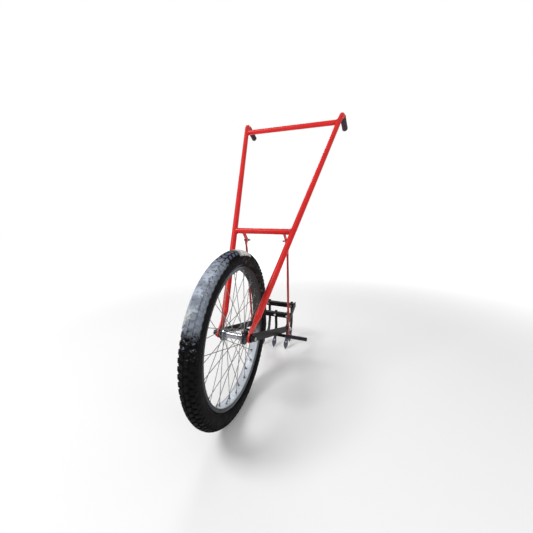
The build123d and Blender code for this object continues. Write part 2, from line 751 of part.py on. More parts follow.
# ---------------------------------------------------------------- assembly
def build_nodes():
    nodes = {
        "tyre": make_tyre(),
        "inner_tube": make_inner_tube(),
        "rim": make_rim(),
        "rim_tape": make_rim_tape(),
        "spoke_nipples": make_nipples(),
        "hub_shell": make_hub_shell(),
        "bearing_cups": make_bearing_cups(),
        "bearing_balls": make_bearing_balls(),
        "dust_caps": make_dust_caps(),
        "valve_stem": make_valve_stem(),
        "valve_cap": make_valve_cap(),
        "axle": make_axle(),
        "axle_cones": make_axle_cones(),
        "lock_nuts": make_lock_nuts(),
        "axle_washers": make_axle_washers(),
        "axle_nuts": make_axle_nuts(),
        "mid_crossbar": make_crossbar(mid_crossbar_z),
        "top_crossbar": make_crossbar(top_crossbar_z),
        "side_bar": make_side_bar(),
        "side_bar_plug": make_side_bar_plug(),
        "side_bar_sleeve": make_side_bar_sleeve(),
        "arm_bolts": make_arm_bolts(),
        "arm_nuts": make_arm_nuts(),
        "arm_washers": make_arm_washers(),
        "strut_bolts": make_strut_bolts(),
        "strut_nuts": make_strut_nuts(),
    }
    for side, side_name in ((1, "left"), (-1, "right")):
        for lean, lean_name in ((1, "leading"), (-1, "trailing")):
            nodes[f"spokes_{side_name}_{lean_name}"] = make_spokes(side, lean)
    pairs = {"leg": make_leg(), "grip": make_grip(), "strut_tab": make_strut_tab(), "arm": make_arm(),
             "strut": make_strut(), "side_plate": make_side_plate()}
    for name, shape in pairs.items():
        nodes[f"{name}_left"] = shape
        nodes[f"{name}_right"] = mirrored(shape)
    nodes["front_tool_bar"] = make_tool_bar(front_bar_y, front_bar_z)
    nodes["rear_tool_bar"] = make_tool_bar(rear_bar_y, rear_bar_z)
    tines = [(front_bar_y, front_bar_z, x) for x in hole_places()]
    tines += [(rear_bar_y, rear_bar_z, x) for x in hole_places() if x]
    tine_names = ["front_right", "front_middle", "front_left", "rear_right", "rear_left"]
    for name, (bar_y, bar_z, x) in zip(tine_names, tines):
        nodes[f"tine_{name}"] = make_tine(bar_y, bar_z, x)
        nodes[f"point_{name}"] = make_point(bar_y, x)
    nodes["point_rivets"] = make_point_rivets(tines)
    nodes["tine_bolts"] = make_tine_bolts(tines)
    nodes["tine_nuts"] = make_tine_nuts(tines)
    return nodes


def main():
    os.makedirs("parts", exist_ok=True)
    nodes = build_nodes()
    boxes = [shape.bounding_box() for shape in nodes.values()]
    front = min(box.min.Y for box in boxes)
    back = max(box.max.Y for box in boxes)
    shift = -(front + back) / 2
    for name, shape in nodes.items():
        export_step(Pos(0, shift, 0) * shape, f"parts/{name}.step")
    print(f"{len(nodes)} nodes, moved {shift:.4f} mm along Y")
    print(f"arm bolt ({arm_pivot_y + shift:.3f}, {arm_pivot_z:.3f}), axle ({shift:.3f}, {axle_z:.3f})")
    print(f"side bar ({side_bar_y + shift:.3f}, {side_bar_z():.3f})")


main()
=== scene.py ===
"""Visual model of a hand-pushed single-wheel hoe, laid out as an add-on.

Run as a script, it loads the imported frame, registers its classes and builds each group of pieces
through its operator. Lengths are metres in the frame's own axes: +X to the operator's left along
the axle, +Y back towards the operator, +Z up.
"""
import json
from math import copysign, cos, degrees, exp, pi, radians, sin, sqrt

import bmesh
import bpy
from bpy.props import FloatProperty, FloatVectorProperty, IntProperty, PointerProperty
from mathutils import Matrix, Vector, noise


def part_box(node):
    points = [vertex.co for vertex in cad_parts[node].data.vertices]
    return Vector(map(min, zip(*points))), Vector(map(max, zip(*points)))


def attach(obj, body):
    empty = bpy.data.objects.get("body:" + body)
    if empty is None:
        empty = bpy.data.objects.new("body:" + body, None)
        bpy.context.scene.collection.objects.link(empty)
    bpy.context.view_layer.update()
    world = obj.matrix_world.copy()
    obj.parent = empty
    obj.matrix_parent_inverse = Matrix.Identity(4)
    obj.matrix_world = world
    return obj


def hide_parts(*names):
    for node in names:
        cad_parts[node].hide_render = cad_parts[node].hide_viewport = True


bl_info = {
    "name": "Single-wheel hoe",
    "version": (1, 0, 0),
    "blender": (4, 5, 0),
    "location": "3D View > Sidebar > Hoe",
    "description": "Builds the visible pieces of a single-wheel hoe round its packed frame",
    "category": "Object",
}

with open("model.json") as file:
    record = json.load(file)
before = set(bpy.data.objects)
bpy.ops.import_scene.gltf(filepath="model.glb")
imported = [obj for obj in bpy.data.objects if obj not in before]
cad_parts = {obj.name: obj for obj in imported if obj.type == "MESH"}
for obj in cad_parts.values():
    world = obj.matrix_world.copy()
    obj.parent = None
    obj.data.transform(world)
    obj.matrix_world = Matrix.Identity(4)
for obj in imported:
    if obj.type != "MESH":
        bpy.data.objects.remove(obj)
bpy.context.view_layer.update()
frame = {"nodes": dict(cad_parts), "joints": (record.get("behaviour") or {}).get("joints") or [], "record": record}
joints = {joint["name"]: joint for joint in frame["joints"]}
mounts = {mount["name"]: mount for mount in frame["record"]["mounts"]}
axle = Vector(joints["wheel_spin"]["pos_m"])

SEAT_RADIUS = 0.233             # centre of the tyre's section, from the axle
TREAD_RADII = (0.2415, 0.2465)  # where the tyre's side wall ends, and where its tread begins
TOP_RADIUS = 0.26               # outside of the tyre
ROW_EDGE = 27.5                 # degrees across the tyre, between the middle and the shoulder rows
ROW_STEP = 0.25                 # of a block, that the rows of one side are turned by
SPOKE_COUNT = 36
EYELET_RADIUS = 0.2000          # from the axle
HARD_EDGE = 32                  # degrees; a flat bar's edges turn by more
SIDES = ("left", "right")
TINES = ("front_left", "front_middle", "front_right", "rear_left", "rear_right")


# ---------------------------------------------------------------- node trees
class Value:
    """An output socket that can be used in arithmetic."""

    def __init__(self, graph, socket):
        self.graph = graph
        self.socket = socket

    def math(self, operation, *values):
        return self.graph.add("ShaderNodeMath", {"operation": operation}, dict(enumerate(values)))

    def __add__(self, other):
        return self.math("ADD", self, other)

    def __radd__(self, other):
        return self.math("ADD", other, self)

    def __sub__(self, other):
        return self.math("SUBTRACT", self, other)

    def __rsub__(self, other):
        return self.math("SUBTRACT", other, self)

    def __mul__(self, other):
        return self.math("MULTIPLY", self, other)

    def __rmul__(self, other):
        return self.math("MULTIPLY", other, self)

    def __truediv__(self, other):
        return self.math("DIVIDE", self, other)

    def __pow__(self, other):
        return self.math("POWER", self, other)

    def __abs__(self):
        return self.math("ABSOLUTE", self)


class Graph:
    """A node tree that nodes are added to one at a time."""

    def __init__(self, tree):
        self.tree = tree

    def add(self, kind, settings=None, inputs=None, output=0):
        """Add a node, set its settings and then its sockets, and return one of its outputs."""
        node = self.tree.nodes.new(kind)
        for name, value in (settings or {}).items():
            setattr(node, name, value)
        for key, value in (inputs or {}).items():
            self.feed(node.inputs[key], value)
        return Value(self, node.outputs[output])

    def feed(self, socket, value):
        if isinstance(value, Value):
            self.tree.links.new(value.socket, socket)
        else:
            socket.default_value = value

    def vector(self, x, y, z):
        return self.add("ShaderNodeCombineXYZ", inputs={"X": x, "Y": y, "Z": z})

    def parts(self, vector):
        node = self.tree.nodes.new("ShaderNodeSeparateXYZ")
        self.feed(node.inputs[0], vector)
        return [Value(self, socket) for socket in node.outputs]

    def along(self, vector, factor):
        return self.add("ShaderNodeVectorMath", {"operation": "SCALE"},
                        {0: vector, "Scale": factor})

    def spread(self, seed):
        """A random number from -1 to 1 for each element."""
        return self.add("FunctionNodeRandomValue", {"data_type": "FLOAT"},
                        {2: -1.0, 3: 1.0, "Seed": seed}, output=1)


class Surface(Graph):
    """A material: patterns in object coordinates that feed one Principled shader."""

    def __init__(self, name, metallic=0.0, roughness=0.5, **constants):
        self.material = bpy.data.materials.new(name + "_finish")
        self.material.use_nodes = True
        super().__init__(self.material.node_tree)
        self.shader = self.tree.nodes["Principled BSDF"]
        self.shader.inputs["Metallic"].default_value = metallic
        self.shader.inputs["Roughness"].default_value = roughness
        for socket, value in constants.items():
            label = socket.replace("_", " ").title().replace("Ior", "IOR")
            self.shader.inputs[label].default_value = value
        self.place = self.add("ShaderNodeTexCoord", output="Object")
        self.x, self.y, self.z = self.parts(self.place)

    def noise(self, size, detail=3.0, roughness=0.5, distortion=0.0, at=None):
        """Cloudy noise between 0 and 1 with features of about this size in metres."""
        return self.add("ShaderNodeTexNoise", {"noise_dimensions": "3D"},
                        {"Vector": at or self.place, "Scale": 1 / size, "Detail": detail,
                         "Roughness": roughness, "Distortion": distortion})

    def cells(self, size):
        return self.add("ShaderNodeTexVoronoi", inputs={"Vector": self.place, "Scale": 1 / size})

    def smooth(self, value, low, high, bottom=0.0, top=1.0):
        return self.add("ShaderNodeMapRange", {"interpolation_type": "SMOOTHSTEP"},
                        {"Value": value, "From Min": low, "From Max": high,
                         "To Min": bottom, "To Max": top})

    def patches(self, size, detail, roughness, low, high, distortion=0.0):
        """Noise sharpened into patches: 0 below one level of the noise and 1 above the other."""
        return self.smooth(self.noise(size, detail, roughness, distortion), low, high)

    def blend(self, factor, a, b):
        """Mix two colours, each three numbers or a link."""
        a, b = [c if isinstance(c, Value) else (*c, 1.0) for c in (a, b)]
        return self.add("ShaderNodeMix", {"data_type": "RGBA"}, {0: factor, 6: a, 7: b}, output=2)

    def bump(self, height, distance, strength=1.0, under=None):
        """Turn a height into a normal. The distance is the depth in metres of a height of 1."""
        inputs = {"Height": height, "Distance": distance, "Strength": strength}
        if under:
            inputs["Normal"] = under
        return self.add("ShaderNodeBump", inputs=inputs)

    def band(self, value, start, full, fading, end):
        """1 between the two middle values, and 0 outside the outer two."""
        return self.smooth(value, start, full) * self.smooth(value, end, fading)

    def past(self, angle, start, end):
        """0 at one angle and 1 at the other, both in degrees."""
        return self.smooth(angle, radians(start), radians(end))

    def wheel_polar(self):
        """Radius from the axle, and the angle from straight up towards the front."""
        forward, up = axle.y - self.y, self.z - axle.z
        radius = (forward * forward + up * up) ** 0.5
        return radius, forward.math("ARCTAN2", forward, up)

    def done(self, **sockets):
        for socket, value in sockets.items():
            self.feed(self.shader.inputs[socket.replace("_", " ")], value)
        return self.material


def node_tree(name, inputs):
    """A Geometry Nodes tree with named inputs, each with its kind of socket and its default."""
    tree = bpy.data.node_groups.new(name, "GeometryNodeTree")
    for label, kind, default in inputs:
        socket = tree.interface.new_socket(label, in_out="INPUT", socket_type="NodeSocket" + kind)
        if default is not None:
            socket.default_value = default
    tree.interface.new_socket("Geometry", in_out="OUTPUT", socket_type="NodeSocketGeometry")
    graph = Graph(tree)
    given = tree.nodes.new("NodeGroupInput")
    return graph, {s.name: Value(graph, s) for s in given.outputs if s.name}


def end_tree(graph, points, shape, rotation, scale, source):
    """End a tree in a shape set on points, made real and given its material."""
    shape = graph.add("GeometryNodeObjectInfo", inputs={"Object": shape}, output="Geometry")
    placed = graph.add("GeometryNodeInstanceOnPoints",
                       inputs={"Points": points, "Instance": shape, "Rotation": rotation,
                               "Scale": scale})
    real = graph.add("GeometryNodeRealizeInstances", inputs={0: placed})
    painted = graph.add("GeometryNodeSetMaterial",
                        inputs={"Geometry": real, "Material": source["Material"]})
    out = graph.tree.nodes.new("NodeGroupOutput")
    graph.feed(out.inputs[0], painted)
    return graph.tree


def copies_on_points():
    """Tree that sets a shape at every vertex, turned as the vertex's own "turn" says."""
    g, source = node_tree("Copies on points", [
        ("Geometry", "Geometry", None), ("Shape", "Object", None), ("Size", "Float", 1.0),
        ("Size variation", "Float", None), ("Seed", "Int", 3), ("Material", "Material", None)])
    points = g.add("GeometryNodeMeshToPoints", inputs={"Mesh": source["Geometry"]})
    turn = g.add("GeometryNodeInputNamedAttribute", {"data_type": "FLOAT_VECTOR"}, {"Name": "turn"})
    rotation = g.add("FunctionNodeEulerToRotation", inputs={0: turn})
    size = source["Size"] * (1 + g.spread(source["Seed"]) * source["Size variation"])
    return end_tree(g, points, source["Shape"], rotation, size, source)


def tread_rows():
    """Tree that sets tread blocks in one row round the wheel, at one place across the tyre."""
    lengths = ("Axle Y", "Axle Z", "Seat radius", "Section radius", "Section angle", "Step")
    g, source = node_tree("Tread row", [
        ("Geometry", "Geometry", None), ("Block", "Object", None), ("Count", "Int", 90),
        *((name, "Float", None) for name in lengths), ("Size", "Vector", (1, 1, 1)),
        ("Wear", "Float", 0.06), ("Seed", "Int", 5), ("Material", "Material", None)])
    index = g.add("GeometryNodeInputIndex")
    spin = (index + source["Step"]) / source["Count"] * (2 * pi)
    tilt = source["Section angle"]
    radius = source["Seat radius"] + source["Section radius"] * tilt.math("COSINE", tilt)
    place = g.vector(source["Section radius"] * tilt.math("SINE", tilt),
                     source["Axle Y"] - radius * spin.math("SINE", spin),
                     source["Axle Z"] + radius * spin.math("COSINE", spin))
    points = g.add("GeometryNodePoints", inputs={"Count": source["Count"], "Position": place})
    lean = g.add("FunctionNodeAxisAngleToRotation", inputs={"Axis": (0, 1, 0), "Angle": tilt})
    roll = g.add("FunctionNodeAxisAngleToRotation", inputs={"Axis": (1, 0, 0), "Angle": spin})
    turned = g.add("FunctionNodeRotateRotation", {"rotation_space": "GLOBAL"},
                   {"Rotation": lean, "Rotate By": roll})
    worn = 1 + source["Wear"] * g.spread(source["Seed"])
    return end_tree(g, points, source["Block"], turned, g.along(source["Size"], worn), source)


# ---------------------------------------------------------------- mesh helpers
def new_object(name, mesh):
    piece = bpy.data.objects.new(name, mesh)
    bpy.context.scene.collection.objects.link(piece)
    return piece


def mesh_of(name, made):
    """The plain mesh of a bmesh, which is freed."""
    mesh = bpy.data.meshes.new(name)
    made.to_mesh(mesh)
    made.free()
    return mesh


def mesh_from(name, points, faces):
    """A smooth mesh with its seams merged and its faces turned outwards."""
    mesh = bpy.data.meshes.new(name)
    mesh.from_pydata([tuple(p) for p in points], [], faces)
    mesh.validate()
    made = bmesh.new()
    made.from_mesh(mesh)
    bmesh.ops.remove_doubles(made, verts=made.verts, dist=1e-6)
    bmesh.ops.recalc_face_normals(made, faces=made.faces)
    made.to_mesh(mesh)
    made.free()
    mesh.shade_smooth()
    return mesh


def sharpen(mesh, crease):
    """Smooth shading with the creases over an angle in degrees kept sharp."""
    mesh.shade_smooth()
    mesh.set_sharp_from_angle(angle=radians(crease))


def loft(rings, closed_ends=True):
    """Points and faces of a skin over closed rings that have the same number of points."""
    count = len(rings[0])
    points = [p for ring in rings for p in ring]
    faces = []
    for r in range(len(rings) - 1):
        for i in range(count):
            j = (i + 1) % count
            faces.append((r * count + i, r * count + j,
                          (r + 1) * count + j, (r + 1) * count + i))
    if closed_ends:
        faces.append(tuple(range(count)))
        faces.append(tuple(range((len(rings) - 1) * count, len(rings) * count)))
    return points, faces


def wheel_point(x, radius, angle):
    """A point on the wheel. The angle is measured from straight up towards the front."""
    return Vector((x, axle.y - radius * sin(angle), axle.z + radius * cos(angle)))


def turned_on_wheel(name, profile, steps):
    """A closed profile of X and radius, turned round the axle."""
    rings = [[wheel_point(x, r, 2 * pi * i / steps) for x, r in profile] for i in range(steps)]
    rings.append(rings[0])
    return mesh_from(name, *loft(rings, closed_ends=False))


def turned_on_axis(name, start, axis, profile, steps=48):
    """A profile of distance along an axis and radius, turned round that axis, with closed ends."""
    axis = axis.normalized()
    side = axis.orthogonal().normalized()
    other = axis.cross(side)
    rings = []
    for along, radius in profile:
        centre = start + axis * along
        rings.append([centre + (side * cos(a) + other * sin(a)) * max(radius, 1e-5)
                      for a in (2 * pi * i / steps for i in range(steps))])
    return mesh_from(name, *loft(rings))


def grown(name, base, tree, values):
    """The plain mesh that a Geometry Nodes tree makes from a base mesh."""
    holder = new_object(name + "_source", base)
    modifier = holder.modifiers.new("Nodes", "NODES")
    modifier.node_group = tree
    identifiers = {item.name: item.identifier for item in tree.interface.items_tree
                   if item.item_type == "SOCKET" and item.in_out == "INPUT"}
    for label, value in values.items():
        modifier[identifiers[label]] = value
    graph = bpy.context.evaluated_depsgraph_get()
    graph.update()
    mesh = bpy.data.meshes.new_from_object(holder.evaluated_get(graph), depsgraph=graph)
    bpy.data.objects.remove(holder)
    mesh.name = name
    return mesh


def copies(name, shape_mesh, places, slot, variation=0.0):
    """One mesh of a small shape set at each place, a pair of a point and a rotation."""
    base = bpy.data.meshes.new(name + "_points")
    base.from_pydata([tuple(point) for point, turn in places], [], [])
    turns = base.attributes.new("turn", "FLOAT_VECTOR", "POINT")
    for item, (point, turn) in zip(turns.data, places):
        item.vector = turn.to_euler("XYZ")
    shape = new_object(name + "_shape", shape_mesh)
    mesh = grown(name, base, copies_on_points(),
                 {"Shape": shape, "Size variation": variation, "Material": finish(slot)})
    bpy.data.objects.remove(shape)
    return mesh


def joined(name, meshes):
    """One mesh out of several that share one material."""
    whole = bmesh.new()
    for mesh in meshes:
        whole.from_mesh(mesh)
    return mesh_of(name, whole)


def show(name, mesh, body, slot, stands_for=(), material=None):
    """Make a finished piece that moves with a body, in its slot's finish or another material."""
    piece = new_object(name, mesh)
    mesh.materials.clear()
    mesh.materials.append(material or finish(slot))
    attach(piece, body)
    if stands_for:
        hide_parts(*stands_for)


def paint(slot, *nodes):
    """Give CAD nodes the finish of a slot."""
    for node in nodes:
        mesh = frame["nodes"][node].data
        mesh.materials.clear()
        mesh.materials.append(finish(slot))


def softened(node, body, slot, width, segments=2):
    """Show a copy of a CAD node with its hard edges rounded, in its place."""
    made = bmesh.new()
    made.from_mesh(frame["nodes"][node].data)
    bmesh.ops.remove_doubles(made, verts=made.verts, dist=2e-6)
    bmesh.ops.dissolve_limit(made, angle_limit=radians(0.6), verts=made.verts, edges=made.edges)
    bmesh.ops.recalc_face_normals(made, faces=made.faces)
    sharp = [e for e in made.edges if len(e.link_faces) == 2
             and e.calc_face_angle(0) > radians(HARD_EDGE)]
    bmesh.ops.bevel(made, geom=sharp, offset=width, segments=segments, profile=0.5,
                    affect="EDGES", clamp_overlap=True)
    mesh = mesh_of(node + "_soft", made)
    sharpen(mesh, HARD_EDGE)
    show(node + "_piece", mesh, body, slot, [node])


def scaled(colour, factor):
    """A colour made lighter or darker."""
    return tuple(min(1.0, c * factor) for c in colour)


def ease(t):
    """A smooth step from 0 to 1."""
    t = min(1.0, max(0.0, t))
    return t * t * (3 - 2 * t)


def box_centre(node):
    low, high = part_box(node)
    return (low + high) / 2


def bar_radius(node):
    """Half the height of a round or square bar that lies along X."""
    low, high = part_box(node)
    return (high.z - low.z) / 2


# ---------------------------------------------------------------- settings
class HoeWheelSettings(bpy.types.PropertyGroup):
    """Sizes and colours of the wheel."""
    block_count: IntProperty(name="Blocks per row", description="Tread blocks in one row",
                             default=84, min=20)
    block_length: FloatProperty(name="Block length", description="Along the tread", default=0.0135,
                                unit="LENGTH")
    block_height: FloatProperty(name="Block height", description="Above the casing", default=0.0030,
                                unit="LENGTH")
    casing_radius: FloatProperty(name="Casing radius", default=0.0243, unit="LENGTH",
                                 description="Of the tyre's section under the tread")
    rubber: FloatVectorProperty(name="Rubber", description="Colour of the tyre", subtype="COLOR",
                                default=(0.0028, 0.0028, 0.0034))
    mud: FloatVectorProperty(name="Mud", description="Colour of the dried mud", subtype="COLOR",
                             default=(0.33, 0.37, 0.44))
    mud_start: FloatProperty(name="Mud starts", description="From the top towards the front",
                             default=radians(17), subtype="ANGLE")
    mud_end: FloatProperty(name="Mud ends", description="From the top towards the front",
                           default=radians(65), subtype="ANGLE")
    rim: FloatVectorProperty(name="Rim", description="Colour of the rim", subtype="COLOR",
                             default=(0.56, 0.60, 0.66))


class HoeFrameSettings(bpy.types.PropertyGroup):
    """Colours and small sizes of the handle frame, the arms and the struts."""
    enamel: FloatVectorProperty(name="Enamel", description="Colour of the handle frame",
                                subtype="COLOR", default=(0.66, 0.018, 0.016))
    dark_enamel: FloatVectorProperty(name="Dark enamel", description="Colour of the struts",
                                     subtype="COLOR", default=(0.40, 0.022, 0.018))
    black: FloatVectorProperty(name="Black enamel", subtype="COLOR",
                               description="Colour of the arms and the tool frame",
                               default=(0.0046, 0.0036, 0.0039))
    grip: FloatVectorProperty(name="Grips", description="Colour of the grips", subtype="COLOR",
                              default=(0.018, 0.005, 0.013))
    weld_bead: FloatProperty(name="Weld bead", description="Half the width of a weld",
                             default=0.0026, unit="LENGTH")
    edge_round: FloatProperty(name="Edge rounding", description="On the flat bars", default=0.0007,
                              unit="LENGTH")


class HoeToolSettings(bpy.types.PropertyGroup):
    """Sizes and colours of the points and the fasteners."""
    point_slope: FloatProperty(name="Point slope", description="Of a point, from upright",
                               default=radians(29.5), subtype="ANGLE")
    point_thickness: FloatProperty(name="Point thickness", description="At its middle ridge",
                                   default=0.0042, unit="LENGTH")
    edge_thickness: FloatProperty(name="Edge thickness", description="At its cutting edges",
                                  default=0.0010, unit="LENGTH")
    steel: FloatVectorProperty(name="Point steel", description="Colour of the points",
                               subtype="COLOR", default=(0.055, 0.058, 0.085))
    zinc: FloatVectorProperty(name="Zinc", description="Colour of the nuts and bolts",
                              subtype="COLOR", default=(0.62, 0.63, 0.65))


class HoeStageSettings(bpy.types.PropertyGroup):
    """Camera, lights and floor."""
    lens: FloatProperty(name="Lens", description="Focal length in millimetres", default=17.55)
    place: FloatVectorProperty(name="Camera", description="Its place", subtype="TRANSLATION",
                               default=(0.3107, -0.9297, 0.6161))
    turn: FloatProperty(name="Turn", description="Of the view, to the left of straight back",
                        default=0.369, subtype="ANGLE")
    dip: FloatProperty(name="Dip", description="Of the view, below the horizon", default=0.228,
                       subtype="ANGLE")
    shift: FloatVectorProperty(name="Shift", description="Of the lens", size=2,
                               default=(0.0285, 0.0165))
    floor: FloatVectorProperty(name="Floor", description="Its colour", subtype="COLOR",
                               default=(0.90, 0.90, 0.90))
    key: FloatProperty(name="Key light", description="Its power", default=66.0, unit="POWER")
    sky: FloatProperty(name="Sky light", description="Brightness of the light from all round",
                       default=0.46)


# ---------------------------------------------------------------- finishes
def rubber_finish(settings):
    """Black rubber, soiled in zones between two angles from the top towards the front, with painted glints in one
    zone and a painted highlight in another.
    """
    s = Surface("tyre_rubber", roughness=0.7, specular_ior_level=0.06)
    radius, angle = s.wheel_polar()
    section = ((radius - SEAT_RADIUS) * (radius - SEAT_RADIUS) + s.x * s.x) ** 0.5
    tops = s.smooth(section, settings.casing_radius + 0.0014, settings.casing_radius + 0.0026)
    tread = s.smooth(radius, *TREAD_RADII)
    cloud = s.noise(0.024, 5, 0.62)
    fine = s.noise(0.0045, 4, 0.6)

    def zone(start, end, soft=5.0):
        return s.past(angle, start - soft, start + soft) * s.past(angle, end + soft, end - soft)

    colour = s.blend(cloud, settings.rubber, scaled(settings.rubber, 1.9))
    # Brown earth worked into the sides, mostly on the back half and low down.
    side = s.smooth(radius, 0.2475, 0.2405)
    earth = s.patches(0.013, 5, 0.65, 0.50, 0.68) * (0.10 + side * zone(-70, -2) * 0.85)
    colour = s.blend(earth, colour, (0.085, 0.052, 0.045))
    # Wet, blue-grey film on the blocks in front of the top.
    film = zone(-2, 30) * tops * s.smooth(fine * 0.6 + cloud * 0.4, 0.30, 0.48)
    colour = s.blend(film * 0.9, colour, (0.115, 0.122, 0.170))
    # Mud caught between the blocks.
    sector = zone(degrees(settings.mud_start), degrees(settings.mud_end))
    soil = s.smooth(cloud * 0.45 + fine * 0.55 + sector * 0.20, 0.50, 0.62) * sector * tread
    colour = s.blend(soil * 0.85, colour, scaled(settings.mud, 0.8))
    # Painted glints: thin light streaks on the blocks below the crust, a painted highlight of wet rubber.
    glint_streaks = s.noise(0.0050, 3, 0.6, 0.8, at=s.vector(s.x * 0.35, s.y, s.z))
    glints = s.smooth(glint_streaks, 0.585, 0.645) * zone(62, 76, 9) * tread * s.smooth(cloud, 0.30, 0.50)
    colour = s.blend(glints * 0.6, colour, (0.26, 0.30, 0.35))
    # Near-white dust just behind the top of the wheel, painted light as the highlight on its top, and a few
    # light-coloured smears further back.
    top_dust_and_highlight = zone(-19, -1, 2.2) * s.smooth(radius, 0.2420, 0.2445) * (0.6 + tops * 0.4) * \
        s.smooth(fine * 0.6 + cloud * 0.4, 0.33, 0.44)
    colour = s.blend(top_dust_and_highlight * 0.95, colour, (0.66, 0.67, 0.65))
    smears = s.patches(0.0085, 4, 0.6, 0.60, 0.66, 1.2) * zone(-62, -34) * \
        s.smooth(radius, 0.2365, 0.2420)
    colour = s.blend(smears * 0.75, colour, (0.42, 0.36, 0.33))
    # Dry dust on the outer knobs of the back, and along the front's far edge.
    far_edge = zone(80, 150, 15) * s.smooth(s.x, -0.010, -0.020)
    dusty = s.patches(0.0060, 5, 0.7, 0.52, 0.64) * tops * \
        (zone(-120, -40, 12) * 0.5 + far_edge * 0.6)
    colour = s.blend(dusty, colour, (0.20, 0.175, 0.145))
    normal = s.bump(s.noise(0.0011, 4) * 0.5 + fine * 0.5, 0.00035, 0.7)
    rings = s.smooth(s.noise(0.0009, 2, at=s.vector(radius, s.x * 0.1, 0.0)), 0.35, 0.65)
    normal = s.bump(rings, 0.00012, 0.5, normal)
    return s.done(Base_Color=colour, Roughness=s.smooth(cloud, 0.3, 0.7, 0.55, 0.75) + soil * 0.2,
                  Normal=normal)


def mud_finish(settings):
    """Dried blue-grey mud, paler where it is thick and dark in the grooves that show through, with a painted
    highlight behind the top of the wheel.
    """
    s = Surface("dried_mud", roughness=0.85, specular_ior_level=0.22)
    radius, angle = s.wheel_polar()
    across = s.x.math("ARCTAN2", s.x, radius - SEAT_RADIUS)
    cloud = s.noise(0.030, 5, 0.6, 0.6)
    fine = s.noise(0.0030, 5, 0.65)
    colour = s.blend(s.smooth(cloud, 0.32, 0.70), scaled(settings.mud, 0.60),
                     scaled(settings.mud, 1.32))
    # Grooves between the blocks: each row starts a quarter or three quarters of a block late.
    side = s.x.math("SIGN", s.x)
    shoulder = s.past(abs(across), ROW_EDGE - 1, ROW_EDGE + 1)
    turn = angle * (settings.block_count / (2 * pi)) - side * ROW_STEP - shoulder * 0.5
    phase = turn.math("FRACT", turn + 200)
    grooves = s.smooth(abs(phase - 0.5), 0.13, 0.05)
    between_rows = s.smooth(abs(abs(across) - radians(ROW_EDGE)), 0.045, 0.015)
    grooves = grooves.math("MAXIMUM", grooves, between_rows)
    shown = s.patches(0.013, 4, 0.6, 0.40, 0.60)
    top = s.past(angle, 33, 20)
    colour = s.blend(grooves * (shown * 0.55 + top * 0.35), colour, (0.030, 0.034, 0.048))
    # Cream, sandier mud along the lower end.
    lower = s.past(angle, 49, 58) * s.smooth(across, 0.35, -0.25)
    sand = lower * s.patches(0.012, 4, 0.6, 0.40, 0.56, 1.0)
    colour = s.blend(sand * 0.8, colour, (0.56, 0.55, 0.47))
    # Damp, darker patches, and behind the top of the wheel dried dust painted near-white as the highlight on the
    # wheel's top.
    damp = s.patches(0.011, 3, 0.5, 0.56, 0.68)
    colour = s.blend(damp * 0.45, colour, (0.115, 0.125, 0.155))
    crust_dust_and_highlight = s.past(angle, 3, -1)
    colour = s.blend(crust_dust_and_highlight, colour, s.blend(cloud, (0.50, 0.51, 0.50), (0.74, 0.74, 0.72)))
    cracks = s.smooth(s.cells(0.010), 0.05, 0.45)
    normal = s.bump(fine - grooves * 0.5, 0.0007, 0.8)
    normal = s.bump(cracks, 0.0003, 0.35, normal)
    return s.done(Base_Color=colour, Roughness=s.smooth(fine, 0.2, 0.8, 0.72, 0.95), Normal=normal)


def rim_finish(settings):
    """Plated steel with rolling lines, brown behind the top, and dark on its side walls."""
    s = Surface("rim_steel", metallic=0.6, roughness=0.45)
    radius, angle = s.wheel_polar()
    # Faint rolling lines that run round the rim.
    lines = s.noise(0.00045, 3, 0.6, at=s.vector(s.x, radius, 0.0))
    cloud = s.noise(0.022, 5, 0.6)
    colour = s.blend(cloud, settings.rim, scaled(settings.rim, 1.18))
    dust = s.patches(0.010, 6, 0.68, 0.50, 0.66)
    colour = s.blend(dust * 0.35, colour, (0.36, 0.36, 0.36))
    # A brown film on the upper back part of the spoke bed.
    back = s.past(angle, 2, -18) * s.past(angle, -122, -100)
    film = back * s.smooth(cloud, 0.02, 0.34)
    # Its dust lies in slow patches, thicker away from the top of the wheel.
    slow = s.noise(0.018, 5, 0.6) * 0.5 + s.smooth(s.z, 0.46, 0.30) * 0.5
    brown = s.blend(s.smooth(slow, 0.25, 0.75), (0.006, 0.005, 0.0045), (0.034, 0.030, 0.025))
    colour = s.blend(film * 0.97, colour, brown)
    spots = s.patches(0.0028, 4, 0.7, 0.66, 0.74)
    colour = s.blend(spots * 0.6, colour, (0.16, 0.09, 0.05))
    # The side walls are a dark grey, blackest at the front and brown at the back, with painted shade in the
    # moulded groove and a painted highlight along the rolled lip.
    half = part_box("rim")[1].x
    wall = s.smooth(abs(s.x), half - 0.0034, half - 0.0018)
    front = s.past(angle, 12, 30) * s.past(angle, 172, 140)
    sides = s.blend(front, (0.070, 0.088, 0.097), (0.004, 0.004, 0.005))
    sides = s.blend(back, sides, (0.030, 0.022, 0.020))
    # Painted highlight: a lighter band along the bulge of the rolled lip.
    lip_highlight = s.band(radius, 0.2079, 0.2088, 0.2096, 0.2101) * (1 - front) * (1 - back)
    # Painted shade: the moulded groove inside the lip is painted darker.
    groove = s.band(radius, 0.2062, 0.2068, 0.2076, 0.2082)
    sides = s.blend(groove * 0.75, sides, (0.008, 0.010, 0.013))
    sides = s.blend(lip_highlight * 0.7, sides, (0.30, 0.35, 0.38))
    colour = s.blend(wall * 0.94, colour, sides)
    metal = (0.60 - dust * 0.25 - spots * 0.4) * (1 - film * 0.96) * (1 - wall * 0.92)
    rough = 0.40 + lines * 0.14 + dust * 0.16 + film * 0.32 + wall * 0.2
    return s.done(Base_Color=colour, Metallic=metal, Roughness=rough,
                  Normal=s.bump(lines, 0.00006, 0.5))


